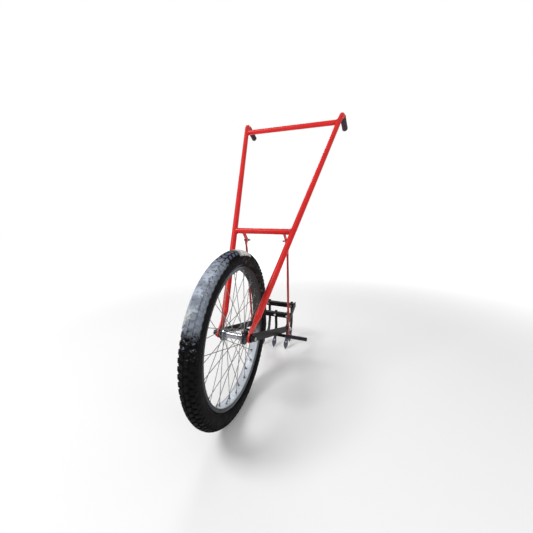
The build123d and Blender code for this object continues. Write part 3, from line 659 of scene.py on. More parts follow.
def dull_steel(name, light, dark, amount, roughness=0.42, metallic=0.9):
    """Plated or bare steel with stains, rust freckles and fine scratches."""
    s = Surface(name, metallic=metallic, roughness=roughness)
    cloud = s.noise(0.012, 5, 0.6)
    freckles = s.patches(0.0022, 5, 0.7, 0.60, 0.72) * amount
    colour = s.blend(s.smooth(cloud, 0.3, 0.7), light, dark)
    colour = s.blend(freckles, colour, (0.13, 0.07, 0.04))
    scratch = s.noise(0.0007, 4, 0.7, 1.5)
    rough = roughness - 0.08 + cloud * 0.16 + freckles * 0.3
    return s.done(Base_Color=colour, Metallic=metallic - freckles * 0.6, Roughness=rough,
                  Normal=s.bump(scratch, 0.00006, 0.5))


def enamel_finish(name, colour, shade, chips=0.5, roughness=0.34, coat=0.06):
    """Brushed-on enamel: slight sags, dust low down, and chips down to primer and steel."""
    s = Surface(name, roughness=roughness, coat_weight=coat, coat_roughness=0.12,
                specular_ior_level=0.2)
    cloud = s.noise(0.055, 4, 0.55)
    fine = s.noise(0.0035, 5, 0.65)
    paint_colour = s.blend(s.smooth(cloud, 0.3, 0.72), colour, scaled(colour, shade))
    nicks = s.patches(0.0042, 6, 0.72, 0.69, 0.715) * s.patches(0.06, 3, 0.5, 0.50, 0.66)
    paint_colour = s.blend(nicks * chips, paint_colour, (0.10, 0.06, 0.05))
    dust = s.smooth(s.z, 0.42, 0.20) * s.patches(0.014, 6, 0.65, 0.46, 0.70)
    paint_colour = s.blend(dust * 0.28, paint_colour, (0.30, 0.26, 0.22))
    scuffs = s.noise(0.0011, 3, 0.6, 2.0, at=s.vector(s.x, s.y, s.z * 0.25))
    rough = roughness - 0.05 + fine * 0.12 + dust * 0.35 + nicks * 0.3
    normal = s.bump(s.noise(0.0048, 2), 0.00022, 0.35)
    normal = s.bump(scuffs - nicks * 1.5, 0.00007, 0.45, normal)
    return s.done(Base_Color=paint_colour, Roughness=rough, Normal=normal)


def black_finish(name, colour, earth, earth_top, earth_bottom):
    """Worn black enamel, rubbed to bare steel in places, and soiled between two heights."""
    s = Surface(name, roughness=0.46, specular_ior_level=0.09)
    cloud = s.noise(0.035, 5, 0.6)
    fine = s.noise(0.0026, 5, 0.68)
    base = s.blend(s.smooth(cloud, 0.3, 0.7), colour, scaled(colour, 1.8))
    rubbed = s.patches(0.0058, 6, 0.74, 0.63, 0.70) * s.smooth(cloud, 0.45, 0.62)
    base = s.blend(rubbed * 0.35, base, (0.12, 0.11, 0.11))
    rust = s.patches(0.0040, 5, 0.7, 0.62, 0.72, 0.5)
    base = s.blend(rust * 0.25, base, (0.060, 0.028, 0.018))
    soil = s.smooth(s.z, earth_top, earth_bottom) * s.patches(0.008, 6, 0.66, 0.38, 0.66)
    base = s.blend(soil * earth, base, (0.17, 0.145, 0.115))
    rough = 0.36 + fine * 0.16 + soil * 0.3 + rust * 0.15
    normal = s.bump(fine, 0.00016, 0.6)
    return s.done(Base_Color=base, Roughness=rough, Metallic=rubbed * 0.5, Normal=normal)


def point_finish(settings):
    """Forged steel, blue-black, scoured brighter towards the tip."""
    s = Surface("point_steel", metallic=0.75, roughness=0.40)
    forged = s.noise(0.0060, 5, 0.65)
    scale = s.cells(0.0030)
    colour = s.blend(forged, settings.steel, scaled(settings.steel, 1.7))
    scoured = s.smooth(s.z, 0.034, 0.004) * s.smooth(forged, 0.30, 0.62)
    colour = s.blend(scoured * 0.45, colour, (0.26, 0.26, 0.30))
    rust = s.patches(0.0030, 5, 0.7, 0.60, 0.72)
    colour = s.blend(rust * 0.4, colour, (0.11, 0.055, 0.03))
    drag = s.noise(0.0007, 4, 0.65, 0.4, at=s.vector(s.x * 3, s.y, s.z * 0.3))
    return s.done(Base_Color=colour, Metallic=0.75 - rust * 0.5,
                  Roughness=0.36 + forged * 0.18 - scoured * 0.10 + rust * 0.2,
                  Normal=s.bump(drag, 0.0001, 0.5, s.bump(scale, 0.00025, 0.4)))


def plastic_finish(name, colour, roughness, grain=0.0008):
    """Moulded black plastic or smooth rubber, dusty in its hollows."""
    s = Surface(name, roughness=roughness, specular_ior_level=0.22)
    cloud = s.noise(0.018, 5, 0.6)
    fine = s.noise(grain, 3, 0.6)
    base = s.blend(cloud, colour, scaled(colour, 1.8))
    dust = s.patches(0.007, 6, 0.68, 0.52, 0.70)
    base = s.blend(dust * 0.22, base, (0.20, 0.18, 0.16))
    return s.done(Base_Color=base, Roughness=roughness - 0.06 + cloud * 0.14 + dust * 0.2,
                  Normal=s.bump(fine, 0.00012, 0.5))


def finish(name):
    """The material of this name, made when it is first asked for."""
    if name + "_finish" in bpy.data.materials:
        return bpy.data.materials[name + "_finish"]
    scene = bpy.context.scene
    wheel, body, tool = scene.hoe_wheel, scene.hoe_frame, scene.hoe_tool
    recipes = {
        "tyre_rubber": lambda: rubber_finish(wheel),
        "dried_mud": lambda: mud_finish(wheel),
        "rim_steel": lambda: rim_finish(wheel),
        "tube_rubber": lambda: plastic_finish(name, (0.02, 0.02, 0.02), 0.6),
        "spoke_steel": lambda: dull_steel(name, (0.30, 0.30, 0.30), (0.17, 0.17, 0.165), 0.5),
        "hub_chrome": lambda: dull_steel(name, (0.42, 0.43, 0.46), (0.27, 0.28, 0.31), 0.25,
                                         0.27, 1.0),
        "zinc_steel": lambda: dull_steel(name, tool.zinc, scaled(tool.zinc, 0.7), 0.35, 0.34),
        "black_steel": lambda: dull_steel(name, (0.035, 0.035, 0.037), (0.060, 0.056, 0.054), 0.3),
        "bearing_steel": lambda: dull_steel(name, (0.6, 0.6, 0.62), (0.45, 0.45, 0.46), 0.1, 0.2),
        "valve_brass": lambda: dull_steel(name, (0.62, 0.52, 0.30), (0.40, 0.33, 0.20), 0.3, 0.35),
        "black_plastic": lambda: plastic_finish(name, (0.012, 0.012, 0.013), 0.38),
        "sleeve_rubber": lambda: plastic_finish(name, (0.012, 0.013, 0.020), 0.42, 0.0011),
        "grip_rubber": lambda: plastic_finish(name, body.grip, 0.55, 0.0014),
        "red_paint": lambda: enamel_finish(name, body.enamel, 0.86),
        "dark_red_paint": lambda: enamel_finish(name, body.dark_enamel, 0.8, 0.7, 0.32, 0.2),
        "black_paint": lambda: black_finish(name, body.black, 0.04, 0.20, 0.08),
        "tine_steel": lambda: black_finish(name, (0.012, 0.012, 0.014), 0.55, 0.14, 0.01),
        "point_steel": lambda: point_finish(tool),
    }
    return recipes[name]()


# ---------------------------------------------------------------- wheel
def section_radius(settings, theta):
    """The casing's radius round its section: fuller where it meets the rim."""
    return settings.casing_radius + 0.0024 * ease((abs(theta) - radians(98)) / radians(34))


def section_point(radius, theta):
    """X and distance from the axle of a point of the tyre's section, at an angle across it."""
    return radius * sin(theta), SEAT_RADIUS + radius * cos(theta)


def casing_mesh(settings):
    """The tyre's casing: outer wall with a few moulded ribs, beads, and inner wall."""
    mouth, wall = radians(157), 0.0034
    rib_height, rib_spread = 0.0004, 0.020
    ribs = [radians(a) for a in (72, 88, 112, 124, 133)]
    outer_steps, inner_steps, turn_steps = 84, 24, 168
    profile = []
    for i in range(outer_steps + 1):
        theta = -mouth + 2 * mouth * i / outer_steps
        rib = sum(exp(-((abs(theta) - r) / rib_spread) ** 2) for r in ribs)
        profile.append(section_point(section_radius(settings, theta) + rib_height * rib, theta))
    for i in range(inner_steps + 1):
        theta = mouth - 2 * mouth * i / inner_steps
        profile.append(section_point(section_radius(settings, theta) - wall, theta))
    return turned_on_wheel("casing", profile, turn_steps)


def block_mesh(length, width, height, skew):
    """A tread block: tapered, skewed, and lower at its sides, with rounded top edges."""
    made = bmesh.new()
    root, side_drop = -0.0016, 0.0004
    outline = ((-1, -1), (0, -1), (1, -1), (1, 0), (1, 1), (0, 1), (-1, 1), (-1, 0))
    rings = []
    for level, grow in ((root, 1.0), (height * 0.55, 0.97), (height * 0.9, 0.92), (height, 0.82)):
        rings.append([made.verts.new((u * width / 2 * grow, v * length / 2 * grow + skew * u,
                                      level - side_drop * abs(u))) for u, v in outline])
    centre = made.verts.new((0, 0, height))
    for i in range(8):
        j = (i + 1) % 8
        for low, high in zip(rings, rings[1:]):
            made.faces.new((low[i], low[j], high[j], high[i]))
        made.faces.new((rings[-1][i], rings[-1][j], centre))
    made.faces.new(list(reversed(rings[0])))
    bmesh.ops.recalc_face_normals(made, faces=made.faces)
    mesh = mesh_of("block", made)
    sharpen(mesh, 40)
    return mesh


def tread_meshes(settings):
    """Every row of blocks: two interlocked middle rows, two shoulder rows and two side rows."""
    tree = tread_rows()
    # Degrees across the tyre, width, skew, share of the length and height, and of a block's turn.
    rows = ((14, 0.0105, 0.0022, 1.0, 1.0, 0.0), (41, 0.0100, -0.0016, 0.92, 1.0, 0.5),
            (64, 0.0082, 0.0, 0.62, 0.42, 0.0))
    meshes = []
    for side in (1, -1):
        for across, width, skew, long, high, turn in rows:
            number = len(meshes)
            block = new_object("block", block_mesh(settings.block_length * long, width,
                                                   settings.block_height * high, side * skew))
            meshes.append(grown(f"row_{number}", bpy.data.meshes.new("start"), tree, {
                "Block": block, "Count": settings.block_count, "Axle Y": axle.y, "Axle Z": axle.z,
                "Seat radius": SEAT_RADIUS, "Section radius": settings.casing_radius,
                "Section angle": side * radians(across), "Step": ROW_STEP * side + turn,
                "Seed": number, "Material": finish("tyre_rubber")}))
            bpy.data.objects.remove(block)
    return meshes


def block_phase(settings, angle, theta):
    """Place along the nearest row of blocks: 0 in the middle of a block and 1 in the groove."""
    step = copysign(ROW_STEP, theta) + (0.5 if abs(theta) > radians(ROW_EDGE) else 0.0)
    turn = angle * settings.block_count / (2 * pi) - step
    return 2 * abs(turn - round(turn))


def mud_height(settings, angle, theta, top):
    """How far the mud stands above the casing, or below it where there is none."""
    at = wheel_point(0.03 * theta + 0.5 * top, TOP_RADIUS, angle)
    rough = noise.fractal(at * 55, 0.9, 2.1, 4)
    ragged = noise.fractal(at * 130 + Vector((3, 1, 2)), 0.8, 2.2, 4)
    groove = block_phase(settings, angle, theta)
    if top:
        start, end, limit = radians(-18), radians(-1), radians(60)
        across = (limit - theta) / radians(8) + 1.2 * (0.4 - groove)
    else:
        start, end = settings.mud_start, settings.mud_end - 0.12 * (theta + radians(60))
        across = (radians(40) - theta) / radians(22) + 1.5 * (groove - 0.5) + 0.6 * ragged
    edge = min((angle - start) / radians(5), (end - angle) / radians(6))
    far = (theta + radians(80)) / radians(14)
    cover = min(edge, across, far) + 0.85 * rough + 0.5 * ragged
    crust = 0.0003 + 0.0003 * rough + 0.0002 * ragged - 0.0004 * groove ** 3
    under = -0.0008
    return under + (settings.block_height + crust - under) * ease(cover * 1.3 + 0.1)


def mud_mesh(settings, start, end, top=False):
    """A crust over part of the tread, closed underneath inside the casing."""
    steps = int((end - start) / radians(0.45))
    first, width = -84, 160
    outer_steps, inner_steps, depth = 76, 8, 0.0022
    rings = []
    for i in range(steps + 1):
        angle = start + (end - start) * i / steps
        ring = []
        for j in range(outer_steps + 1):
            theta = radians(first + width * j / outer_steps)
            radius = settings.casing_radius + mud_height(settings, angle, theta, top)
            ring.append(wheel_point(*section_point(radius, theta), angle))
        for j in range(inner_steps, -1, -1):
            theta = radians(first + width * j / inner_steps)
            ring.append(wheel_point(*section_point(settings.casing_radius - depth, theta), angle))
        rings.append(ring)
    return mesh_from("mud", *loft(rings))


class HOE_OT_tyre(bpy.types.Operator):
    """Build the tyre with its tread blocks and the dried mud on it"""
    bl_idname = "hoe.tyre"
    bl_label = "Tyre"

    def execute(self, context):
        settings = context.scene.hoe_wheel
        show("tyre_casing", casing_mesh(settings), "wheel", "tyre_rubber", ["tyre"])
        show("tyre_tread", joined("tread", tread_meshes(settings)), "wheel", "tyre_rubber",
             ["tyre"])
        main_crust = mud_mesh(settings, settings.mud_start - radians(8),
                              settings.mud_end + radians(10))
        top_crust = mud_mesh(settings, radians(-25), radians(5), top=True)
        show("tyre_mud", joined("mud_all", [main_crust, top_crust]), "wheel", "tyre_rubber",
             material=finish("dried_mud"))
        paint("tube_rubber", "inner_tube", "rim_tape")
        return {"FINISHED"}


def rim_profile():
    """Half of the rim's section from the middle of the spoke bed round to the middle again."""
    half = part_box("rim")[1].x
    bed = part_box("rim")[1].z - axle.z - 0.0103
    floor_bed = [(0, 0), (0.0080, 0), (0.0108, 0.0001), (0.0114, -0.0003), (0.0124, -0.0003),
                 (0.0131, 0.0002)]
    # The side wall up to its rolled edge and down its inner face, from the rim's half width.
    wall = [(-0.0016, 0.0006), (-0.0005, 0.0014), (0, 0.0028), (0, 0.0060), (-0.0003, 0.0066),
            (-0.0003, 0.0072), (0.0002, 0.0079), (0.0006, 0.0090), (0.0004, 0.0100),
            (-0.0003, 0.0105), (-0.0012, 0.0103), (-0.0017, 0.0095), (-0.0018, 0.0085),
            (-0.0019, 0.0030), (-0.0030, 0.0019)]
    well = [(0.0090, 0.0016), (0, 0.0016)]
    return [(x, bed + r) for x, r in floor_bed + [(half + x, r) for x, r in wall] + well]


class HOE_OT_rim(bpy.types.Operator):
    """Build the rolled steel rim with its spoke eyelets"""
    bl_idname = "hoe.rim"
    bl_label = "Rim"

    def execute(self, context):
        half = rim_profile()
        profile = half + [(-x, r) for x, r in reversed(half[1:-1])]
        rim = turned_on_wheel("rim_shell", profile, 216)
        sharpen(rim, 40)
        show("rim_shell", rim, "wheel", "rim_steel", ["rim"])
        ring = turned_on_axis("eyelet", Vector((0, 0, -0.0002)), Vector((0, 0, 1)),
                              [(0, 0.0026), (0, 0.0040), (0.0006, 0.0038), (0.0011, 0.0031),
                               (0.0012, 0.0027), (0.0010, 0.0024)], 20)
        places = []
        for index in range(SPOKE_COUNT):
            angle = 2 * pi * index / SPOKE_COUNT
            side = 1 if index % 2 == 0 else -1
            places.append((wheel_point(side * 0.003, EYELET_RADIUS, angle),
                           Matrix.Rotation(angle + pi, 4, "X")))
        show("rim_eyelets", copies("eyelets", ring, places, "spoke_steel"), "wheel", "spoke_steel")
        return {"FINISHED"}


class HOE_OT_spokes(bpy.types.Operator):
    """Finish the spokes, the hub, the axle and the valve"""
    bl_idname = "hoe.spokes"
    bl_label = "Spokes and hub"

    def execute(self, context):
        paint("spoke_steel", "spokes_left_leading", "spokes_left_trailing", "spokes_right_leading",
              "spokes_right_trailing", "spoke_nipples")
        paint("hub_chrome", "hub_shell")
        paint("bearing_steel", "bearing_cups", "bearing_balls", "axle_cones")
        paint("black_steel", "axle_washers", "lock_nuts")
        paint("zinc_steel", "axle")
        paint("black_plastic", "dust_caps", "valve_cap")
        paint("valve_brass", "valve_stem")
        return {"FINISHED"}


# ---------------------------------------------------------------- handle frame
def leg_line():
    """A point on the left-hand leg's centre line at each crossbar, read from the frame."""
    ends = []
    for node in ("mid_crossbar", "top_crossbar"):
        low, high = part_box(node)
        ends.append(Vector((high.x, (low.y + high.y) / 2, (low.z + high.z) / 2)))
    return ends


def facing(run, out):
    """A rotation that turns X along a weld and Z out of it."""
    return Matrix((run, out.cross(run), out)).transposed().to_4x4()


def bead_places(points, centre):
    """Places for the ripples of a weld along a closed line round a centre."""
    places = []
    count = len(points)
    for i, point in enumerate(points):
        run = (points[(i + 1) % count] - points[i - 1]).normalized()
        out = point - centre
        out = (out - run * out.dot(run)).normalized()
        places.append((point, facing(run, out) @ Matrix.Rotation(radians(28), 4, "Y")))
    return places


def arc_places(x, centre, radius, start, step, count):
    """Places for the ripples of a weld part of the way round a bar along X, in degrees."""
    places = []
    for i in range(count):
        a = radians(start + step * i)
        out = Vector((0, cos(a), sin(a)))
        places.append((Vector((x, centre.y, centre.z)) + out * radius,
                       facing(Vector((0, -sin(a), cos(a))), out)))
    return places


def lay_weld(name, body, slot, places, size, variation):
    """Show a weld: a low rounded scale at each place."""
    made = bmesh.new()
    bmesh.ops.create_icosphere(made, subdivisions=2, radius=size)
    bmesh.ops.scale(made, vec=(0.62, 1.0, 0.62), verts=made.verts)
    ripple = mesh_of("ripple", made)
    ripple.shade_smooth()
    show(name, copies(name, ripple, places, slot, variation), body, slot)


def saddle(bar, other, radius, side):
    """The line where a crossbar along X meets a leg of the same radius."""
    leg = (other - bar).normalized()
    steps, reach = 44, radius + 0.0004
    points = []
    for i in range(steps):
        a = 2 * pi * i / steps
        offset = Vector((0, cos(a), sin(a))) * reach
        # Distance from the leg's line is the leg's radius: solve for x on the inner side.
        p, q = 1 - leg.x ** 2, -leg.x * offset.dot(leg)
        c = offset.length_squared - offset.dot(leg) ** 2 - reach ** 2
        x = (-q - sqrt(max(0.0, q * q - p * c))) / p
        point = bar + offset + Vector((x, 0, 0))
        points.append(Vector((side * point.x, point.y, point.z)))
    return points


class HOE_OT_handles(bpy.types.Operator):
    """Finish the handle frame and lay its welds"""
    bl_idname = "hoe.handles"
    bl_label = "Handle frame"

    def execute(self, context):
        settings = context.scene.hoe_frame
        paint("red_paint", "leg_left", "leg_right", "mid_crossbar", "top_crossbar")
        for side in SIDES:
            softened("strut_tab_" + side, "handle_frame", "red_paint", settings.edge_round)
        low, top = leg_line()
        radius = bar_radius("mid_crossbar")
        places = []
        for bar, other in ((low, top), (top, low)):
            for side in (1, -1):
                points = saddle(bar, other, radius, side)
                places += bead_places(points, sum(points, Vector()) / len(points))
        lay_weld("frame_welds", "handle_frame", "red_paint", places, settings.weld_bead, 0.12)
        places = []
        for side in SIDES:
            tab_low, tab_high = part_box("strut_tab_" + side)
            for x in (tab_low.x, tab_high.x):
                arc = arc_places(x, low, radius + 0.0002, -150, 9.5, 14)
                places += [place for place in arc if tab_low.y < place[0].y < tab_high.y]
        lay_weld("tab_welds", "handle_frame", "red_paint", places, settings.weld_bead * 0.8, 0.12)
        return {"FINISHED"}


class HOE_OT_grips(bpy.types.Operator):
    """Build the ribbed rubber grips"""
    bl_idname = "hoe.grips"
    bl_label = "Grips"

    def execute(self, context):
        first_rib, rib_pitch, last_rib = 0.0080, 0.0048, 0.016
        for side in SIDES:
            mount = mounts[side + "_grip"]
            axis = Vector(mount["axis"]).normalized()
            length = mount["dims"]["length_mm"] / 1000
            radius = mount["dims"]["r_mm"] / 1000
            # Distance from the mouth, and height above the grip's own radius.
            profile = [(0.0002, -0.0017), (0.0002, -0.0002), (0.0010, 0.0006), (0.0032, 0.0006),
                       (0.0040, -0.0001), (0.0046, -0.0001)]
            at = first_rib
            while at < length - last_rib:
                profile += [(at, 0), (at + 0.0005, -0.0007), (at + 0.0014, -0.0007),
                            (at + 0.0019, 0)]
                at += rib_pitch
            profile += [(length - back, rise) for back, rise in (
                (0.0105, 0), (0.0090, 0.0004), (0.0045, 0.0004), (0.0018, -0.0006),
                (0.0003, -0.0030), (0, 0.0040 - radius), (0.0008, 0.0030 - radius),
                (0.0008, -radius))]
            mesh = turned_on_axis("grip", Vector(mount["pos_m"]) - axis * length / 2, axis,
                                  [(along, radius + rise) for along, rise in profile], 56)
            sharpen(mesh, 50)
            show("grip_" + side + "_sleeve", mesh, "handle_frame", "grip_rubber", ["grip_" + side])
        return {"FINISHED"}


# ---------------------------------------------------------------- arms, struts and tool frame
class HOE_OT_arms(bpy.types.Operator):
    """Finish the arms and the side bar with its sleeve"""
    bl_idname = "hoe.arms"
    bl_label = "Arms and side bar"

    def execute(self, context):
        for side in SIDES:
            softened("arm_" + side, "arms", "black_paint", context.scene.hoe_frame.edge_round)
        paint("black_paint", "side_bar")
        paint("black_plastic", "side_bar_plug")
        low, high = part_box("side_bar_sleeve")
        length, radius = high.x - low.x, bar_radius("side_bar_sleeve")
        centre = box_centre("side_bar_sleeve")
        profile = [(0.0, -0.0011), (0.0, -0.0003), (0.0004, 0.0002), (0.0022, 0.0003),
                   (0.0030, -0.0001), (length * 0.5, 0), (length - 0.0032, 0),
                   (length - 0.0015, -0.0006), (length - 0.0004, -0.0020), (length, -0.0040),
                   (length, -radius)]
        mesh = turned_on_axis("sleeve", Vector((low.x, centre.y, centre.z)), Vector((1, 0, 0)),
                              [(along, radius + rise) for along, rise in profile])
        sharpen(mesh, 50)
        show("side_bar_rubber", mesh, "arms", "sleeve_rubber", ["side_bar_sleeve"])
        # Short welds where the side bar lies under each arm.
        arm_faces = (0.0722, 0.0778)
        places = []
        for side in (1, -1):
            for face in arm_faces:
                places += arc_places(side * face, box_centre("side_bar"), bar_radius("side_bar"),
                                     40, 12.5, 9)
        lay_weld("side_bar_welds", "arms", "black_paint", places, 0.0019, 0.15)
        return {"FINISHED"}


class HOE_OT_struts(bpy.types.Operator):
    """Finish the two dark red struts"""
    bl_idname = "hoe.struts"
    bl_label = "Struts"

    def execute(self, context):
        paint("dark_red_paint", "strut_left", "strut_right")
        return {"FINISHED"}


class HOE_OT_tool_frame(bpy.types.Operator):
    """Finish the side plates, the tool bars and the tines, and weld the bars to the plates"""
    bl_idname = "hoe.tool_frame"
    bl_label = "Tool frame"

    def execute(self, context):
        edge_round = context.scene.hoe_frame.edge_round
        for side in SIDES:
            softened("side_plate_" + side, "tool_frame", "black_paint", edge_round)
        tool_bars = ("front_tool_bar", "rear_tool_bar")
        for node in tool_bars:
            softened(node, "tool_frame", "black_paint", 0.0016, 3)
        for name in TINES:
            softened("tine_" + name, "tool_frame", "tine_steel", 0.0011, 3)
        steps = 12
        places = []
        for node in tool_bars:
            middle, half = box_centre(node), bar_radius(node)
            corners = [Vector((0, y * half, z * half))
                       for y, z in ((1, 1), (-1, 1), (-1, -1), (1, -1))]
            for end in reversed(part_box(node)):
                centre = Vector((end.x, middle.y, middle.z))
                line = [centre + start.lerp(corners[(i + 1) % 4], j / steps)
                        for i, start in enumerate(corners) for j in range(steps)]
                places += bead_places(line, centre)
        lay_weld("bar_welds", "tool_frame", "black_paint", places, 0.0021, 0.15)
        return {"FINISHED"}


def point_mesh(settings, node):
    """A forged spear-shaped point with a middle ridge, in the place of a CAD node."""
    low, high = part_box(node)
    slope, plate = settings.point_slope, 0.004
    down = Vector((0, -sin(slope), -cos(slope)))
    front = Vector((0, down.z, -down.y))
    # The plate's highest corner is on its back face at the top of the neck.
    length = (high.z - low.z - plate * front.z) / cos(slope)
    tip = Vector(((low.x + high.x) / 2, high.y, high.z - plate * front.z)) + down * length
    half_wide = (high.x - low.x) / 2
    thick, edge = settings.point_thickness, settings.edge_thickness
    # Share of the length from the tip, and half the width there.
    widths = [(0.0, 0.0006), (0.04, 0.0021), (0.12, 0.0046), (0.24, 0.0077), (0.36, 0.0098),
              (0.45, half_wide), (0.54, half_wide * 0.985), (0.66, 0.0092), (0.80, 0.0080),
              (0.92, 0.0070), (0.97, 0.0066), (1.0, 0.0058)]
    columns = [-1.0, -0.86, -0.55, -0.22, 0.0, 0.22, 0.55, 0.86, 1.0]
    rings = []
    for share, wide in widths:
        ridge = thick * min(1.0, 0.35 + share * 2.6) * (1 - max(0.0, share - 0.95) * 9)
        front_line, back_line = [], []
        for u in columns:
            at = tip - down * (share * length) + Vector((u * wide, 0, 0))
            at_edge = abs(u) == 1.0
            rise = edge * 0.55 if at_edge else edge + (ridge - edge) * (1 - abs(u) ** 1.25)
            front_line.append(at + front * rise)
            back_line.append(at + front * (edge * 0.25 if at_edge else 0))
        rings.append(front_line + back_line[::-1])
    mesh = mesh_from("point", *loft(rings))
    sharpen(mesh, 38)
    return mesh


class HOE_OT_points(bpy.types.Operator):
    """Build the forged spear-shaped points, and finish their rivets"""
    bl_idname = "hoe.points"
    bl_label = "Points"

    def execute(self, context):
        settings = context.scene.hoe_tool
        for name in TINES:
            node = "point_" + name
            show("spear_" + name, point_mesh(settings, node), "tool_frame", "point_steel", [node])
        paint("zinc_steel", "point_rivets")
        return {"FINISHED"}


# ---------------------------------------------------------------- fasteners
def hex_mesh(flats, height, bore=0.0):
    """A hexagon with both rims of its faces chamfered, standing on the origin along +Z."""
    corner, steps = flats / sqrt(3), 36
    turns = [2 * pi * i / steps for i in range(steps)]

    def flat_radius(a):
        return flats / 2 / cos((a + pi / 6) % (pi / 3) - pi / 6)

    rings = [[Vector((cos(a), sin(a), 0)) * min(flat_radius(a), corner * share)
              + Vector((0, 0, height * level)) for a in turns]
             for level, share in ((0.0, 0.90), (0.08, 1.0), (0.80, 1.0), (1.0, 0.86))]
    if bore:
        for level, share in ((1.0, 1.12), (0.94, 1.0), (0.06, 1.0), (0.0, 1.12)):
            r = bore * share
            rings.append([Vector((r * cos(a), r * sin(a), height * level)) for a in turns])
        rings.append(rings[0])
    mesh = mesh_from("hex", *loft(rings, closed_ends=not bore))
    sharpen(mesh, 24)
    return mesh


def thread_mesh(radius, length, pitch):
    """The end of a threaded bolt along +Z with a chamfered tip."""
    profile = [(0.0, radius)]
    at = 0.0
    while at + pitch < length - 0.001:
        profile += [(at + pitch * 0.5, radius * 0.86), (at + pitch, radius)]
        at += pitch
    profile += [(length - 0.0006, radius * 0.9), (length, radius * 0.74), (length, 0.0)]
    mesh = turned_on_axis("thread", Vector(), Vector((0, 0, 1)), profile, 24)
    sharpen(mesh, 30)
    return mesh


def aimed(direction, spin=0.0):
    """A rotation that turns +Z to a direction, spun about it first."""
    return direction.to_track_quat("Z", "Y").to_matrix().to_4x4() @ Matrix.Rotation(spin, 4, "Z")


def both_sides(node, x, outwards=1, spin=0.0, twist=0.0):
    """Places on the left and the right at a node's height, aimed outwards or inwards (-1)."""
    centre = box_centre(node)
    return [(Vector((side * x, centre.y, centre.z)),
             aimed(Vector((side * outwards, 0, 0)), spin + side * twist)) for side in (1, -1)]


class HOE_OT_fasteners(bpy.types.Operator):
    """Build the chamfered nuts, bolt heads and threaded ends"""
    bl_idname = "hoe.fasteners"
    bl_label = "Nuts and bolts"

    def execute(self, context):
        def fit(name, body, slot, node, *shapes):
            """Show one piece made of shapes, each with its places, in the place of a node."""
            meshes = [copies(name, shape, places, slot) for shape, places in shapes]
            show(name, joined(name, meshes), body, slot, [node])

        def outer_face(node):
            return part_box(node)[1].x

        face, outer = outer_face("axle_washers"), outer_face("axle_nuts")
        fit("axle_hex_nuts", "handle_frame", "black_steel", "axle_nuts",
            (hex_mesh(0.015, outer - face, 0.00478), both_sides("axle_nuts", face, 1, 0.3, 0.4)))
        # Arm bolts: the nut's inner face is on the washer, and the head is inside the side plate.
        wrench, radius = 0.013, 0.004
        face, outer = outer_face("arm_washers"), outer_face("arm_nuts")
        fit("arm_hex_nuts", "arms", "zinc_steel", "arm_nuts",
            (hex_mesh(wrench, outer - face, radius + 0.0001),
             both_sides("arm_nuts", face, 1, 0.3, 0.4)))
        face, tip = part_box("side_plate_left")[0].x - 0.0003, outer_face("arm_bolts")
        fit("arm_hex_bolts", "arms", "zinc_steel", "arm_bolts",
            (hex_mesh(wrench, 0.0053), both_sides("arm_bolts", face, -1, 0.2)),
            (thread_mesh(radius, tip - face, 0.00125), both_sides("arm_bolts", face)))
        paint("zinc_steel", "arm_washers")
        # Strut bolts: blackened, headed outside, with the nut inside the tab.
        wrench, radius, pitch, head, nut, stick_out = 0.010, 0.003, 0.001, 0.004, 0.005, 0.007
        face, inner = outer_face("strut_bolts") - head, outer_face("strut_nuts")
        fit("strut_hex_bolts", "handle_frame", "black_steel", "strut_bolts",
            (hex_mesh(wrench, head), both_sides("strut_bolts", face, 1, 0.35)),
            (thread_mesh(radius, face - (inner - nut - stick_out), pitch),
             both_sides("strut_bolts", face, -1)))
        fit("strut_hex_nuts", "handle_frame", "zinc_steel", "strut_nuts",
            (hex_mesh(wrench, nut, radius + 0.0001), both_sides("strut_bolts", inner, -1, 0.1)))
        # Tine bolts run front to back through the bars, with the same heads and nuts.
        tine_thickness = 0.006
        forward, backward = Vector((0, -1, 0)), Vector((0, 1, 0))
        heads, shanks, nuts = [], [], []
        for name in TINES:
            low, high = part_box(name.split("_")[0] + "_tool_bar")
            x, z = box_centre("tine_" + name).x, (low.z + high.z) / 2
            spin = 0.5 + 7 * x
            heads.append((Vector((x, low.y, z)), aimed(forward, spin)))
            shanks.append((Vector((x, low.y, z)), aimed(backward)))
            nuts.append((Vector((x, high.y + tine_thickness, z)), aimed(backward, spin)))
        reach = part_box("tine_bolts")[1].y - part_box("rear_tool_bar")[0].y
        fit("tine_hex_bolts", "tool_frame", "zinc_steel", "tine_bolts",
            (hex_mesh(wrench, head), heads), (thread_mesh(radius, reach, pitch), shanks))
        fit("tine_hex_nuts", "tool_frame", "zinc_steel", "tine_nuts",
            (hex_mesh(wrench, nut, radius + 0.0001), nuts))
        return {"FINISHED"}


# ---------------------------------------------------------------- stage
def area_light(name, place, height, size, power):
    """A round lamp that faces a height above the middle of the floor."""
    data = bpy.data.lights.new(name, "AREA")
    data.shape = "DISK"
    data.size = size
    data.energy = power
    lamp = new_object(name, data)
    lamp.location = place
    towards = Vector((0, 0, height)) - Vector(place)
    lamp.rotation_euler = towards.to_track_quat("-Z", "Y").to_euler()


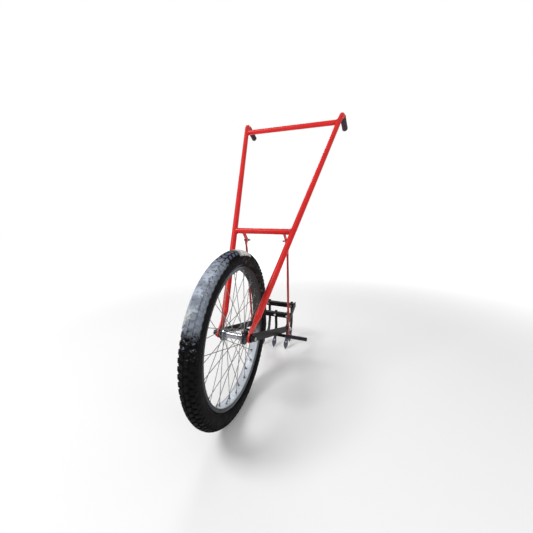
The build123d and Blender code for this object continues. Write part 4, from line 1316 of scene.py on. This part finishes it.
class HOE_OT_stage(bpy.types.Operator):
    """Set the floor, the lights and the camera"""
    bl_idname = "hoe.stage"
    bl_label = "Stage"

    def execute(self, context):
        scene = context.scene
        settings = scene.hoe_stage
        size = 9.0
        corners = [(-size, -size, 0), (size, -size, 0), (size, size, 0), (-size, size, 0)]
        floor = new_object("floor", mesh_from("floor", corners, [(0, 1, 2, 3)]))
        s = Surface("floor", roughness=0.7)
        # Far away the floor glows like a lit backdrop, so it has no dark horizon.
        away = s.smooth((s.x * s.x + s.y * s.y) ** 0.5, 0.9, 3.2)
        s.shader.inputs["Emission Strength"].default_value = 1.0
        s.done(Base_Color=s.blend(s.noise(0.5, 3), settings.floor, scaled(settings.floor, 0.985)),
               Emission_Color=s.blend(away, (0.05, 0.05, 0.05), (0.72, 0.72, 0.72)))
        floor.data.materials.append(s.material)
        world = bpy.data.worlds.new("studio")
        world.use_nodes = True
        # The backdrop is seen white, and lights the object less than it shows.
        sky = Graph(world.node_tree)
        background = world.node_tree.nodes["Background"]
        background.inputs["Color"].default_value = (1, 1, 1, 1)
        seen = sky.add("ShaderNodeLightPath", output="Is Camera Ray")
        sky.feed(background.inputs["Strength"], seen * (1 - settings.sky) + settings.sky)
        scene.world = world
        area_light("key", (-1.5, -1.6, 3.0), 0.45, 1.3, settings.key)
        area_light("back_light", (-1.0, 2.6, 2.2), 0.5, 1.5, settings.key * 0.35)
        area_light("fill", (2.4, -1.6, 1.4), 0.4, 1.4, settings.key * 0.20)
        scene.view_settings.view_transform = "Standard"
        camera = new_object("camera", bpy.data.cameras.new("camera"))
        camera.data.lens = settings.lens
        camera.data.sensor_width = 36.0
        camera.data.shift_x, camera.data.shift_y = settings.shift
        camera.data.clip_start, camera.data.clip_end = 0.02, 60.0
        camera.location = settings.place
        camera.rotation_euler = (pi / 2 - settings.dip, 0.0, settings.turn)
        scene.camera = camera
        return {"FINISHED"}


class HOE_PT_panel(bpy.types.Panel):
    """Lists the settings and the operators"""
    bl_idname = "HOE_PT_panel"
    bl_label = "Single-wheel hoe"
    bl_space_type = "VIEW_3D"
    bl_region_type = "UI"
    bl_category = "Hoe"

    def draw(self, context):
        layout = self.layout
        for group in SETTINGS:
            box = layout.box()
            for name in SETTINGS[group].__annotations__:
                box.prop(getattr(context.scene, group), name)
        for operator in OPERATORS:
            layout.operator(operator.bl_idname)


SETTINGS = {"hoe_wheel": HoeWheelSettings, "hoe_frame": HoeFrameSettings,
            "hoe_tool": HoeToolSettings, "hoe_stage": HoeStageSettings}
OPERATORS = (HOE_OT_tyre, HOE_OT_rim, HOE_OT_spokes, HOE_OT_handles, HOE_OT_grips, HOE_OT_arms,
             HOE_OT_struts, HOE_OT_tool_frame, HOE_OT_points, HOE_OT_fasteners, HOE_OT_stage)


def register():
    for name, group in SETTINGS.items():
        bpy.utils.register_class(group)
        setattr(bpy.types.Scene, name, PointerProperty(type=group))
    for item in (*OPERATORS, HOE_PT_panel):
        bpy.utils.register_class(item)


def unregister():
    for item in (HOE_PT_panel, *reversed(OPERATORS)):
        bpy.utils.unregister_class(item)
    for name, group in SETTINGS.items():
        delattr(bpy.types.Scene, name)
        bpy.utils.unregister_class(group)


def main():
    register()
    for operator in OPERATORS:
        group, name = operator.bl_idname.split(".")
        getattr(getattr(bpy.ops, group), name)()


if __name__ == "__main__":
    main()
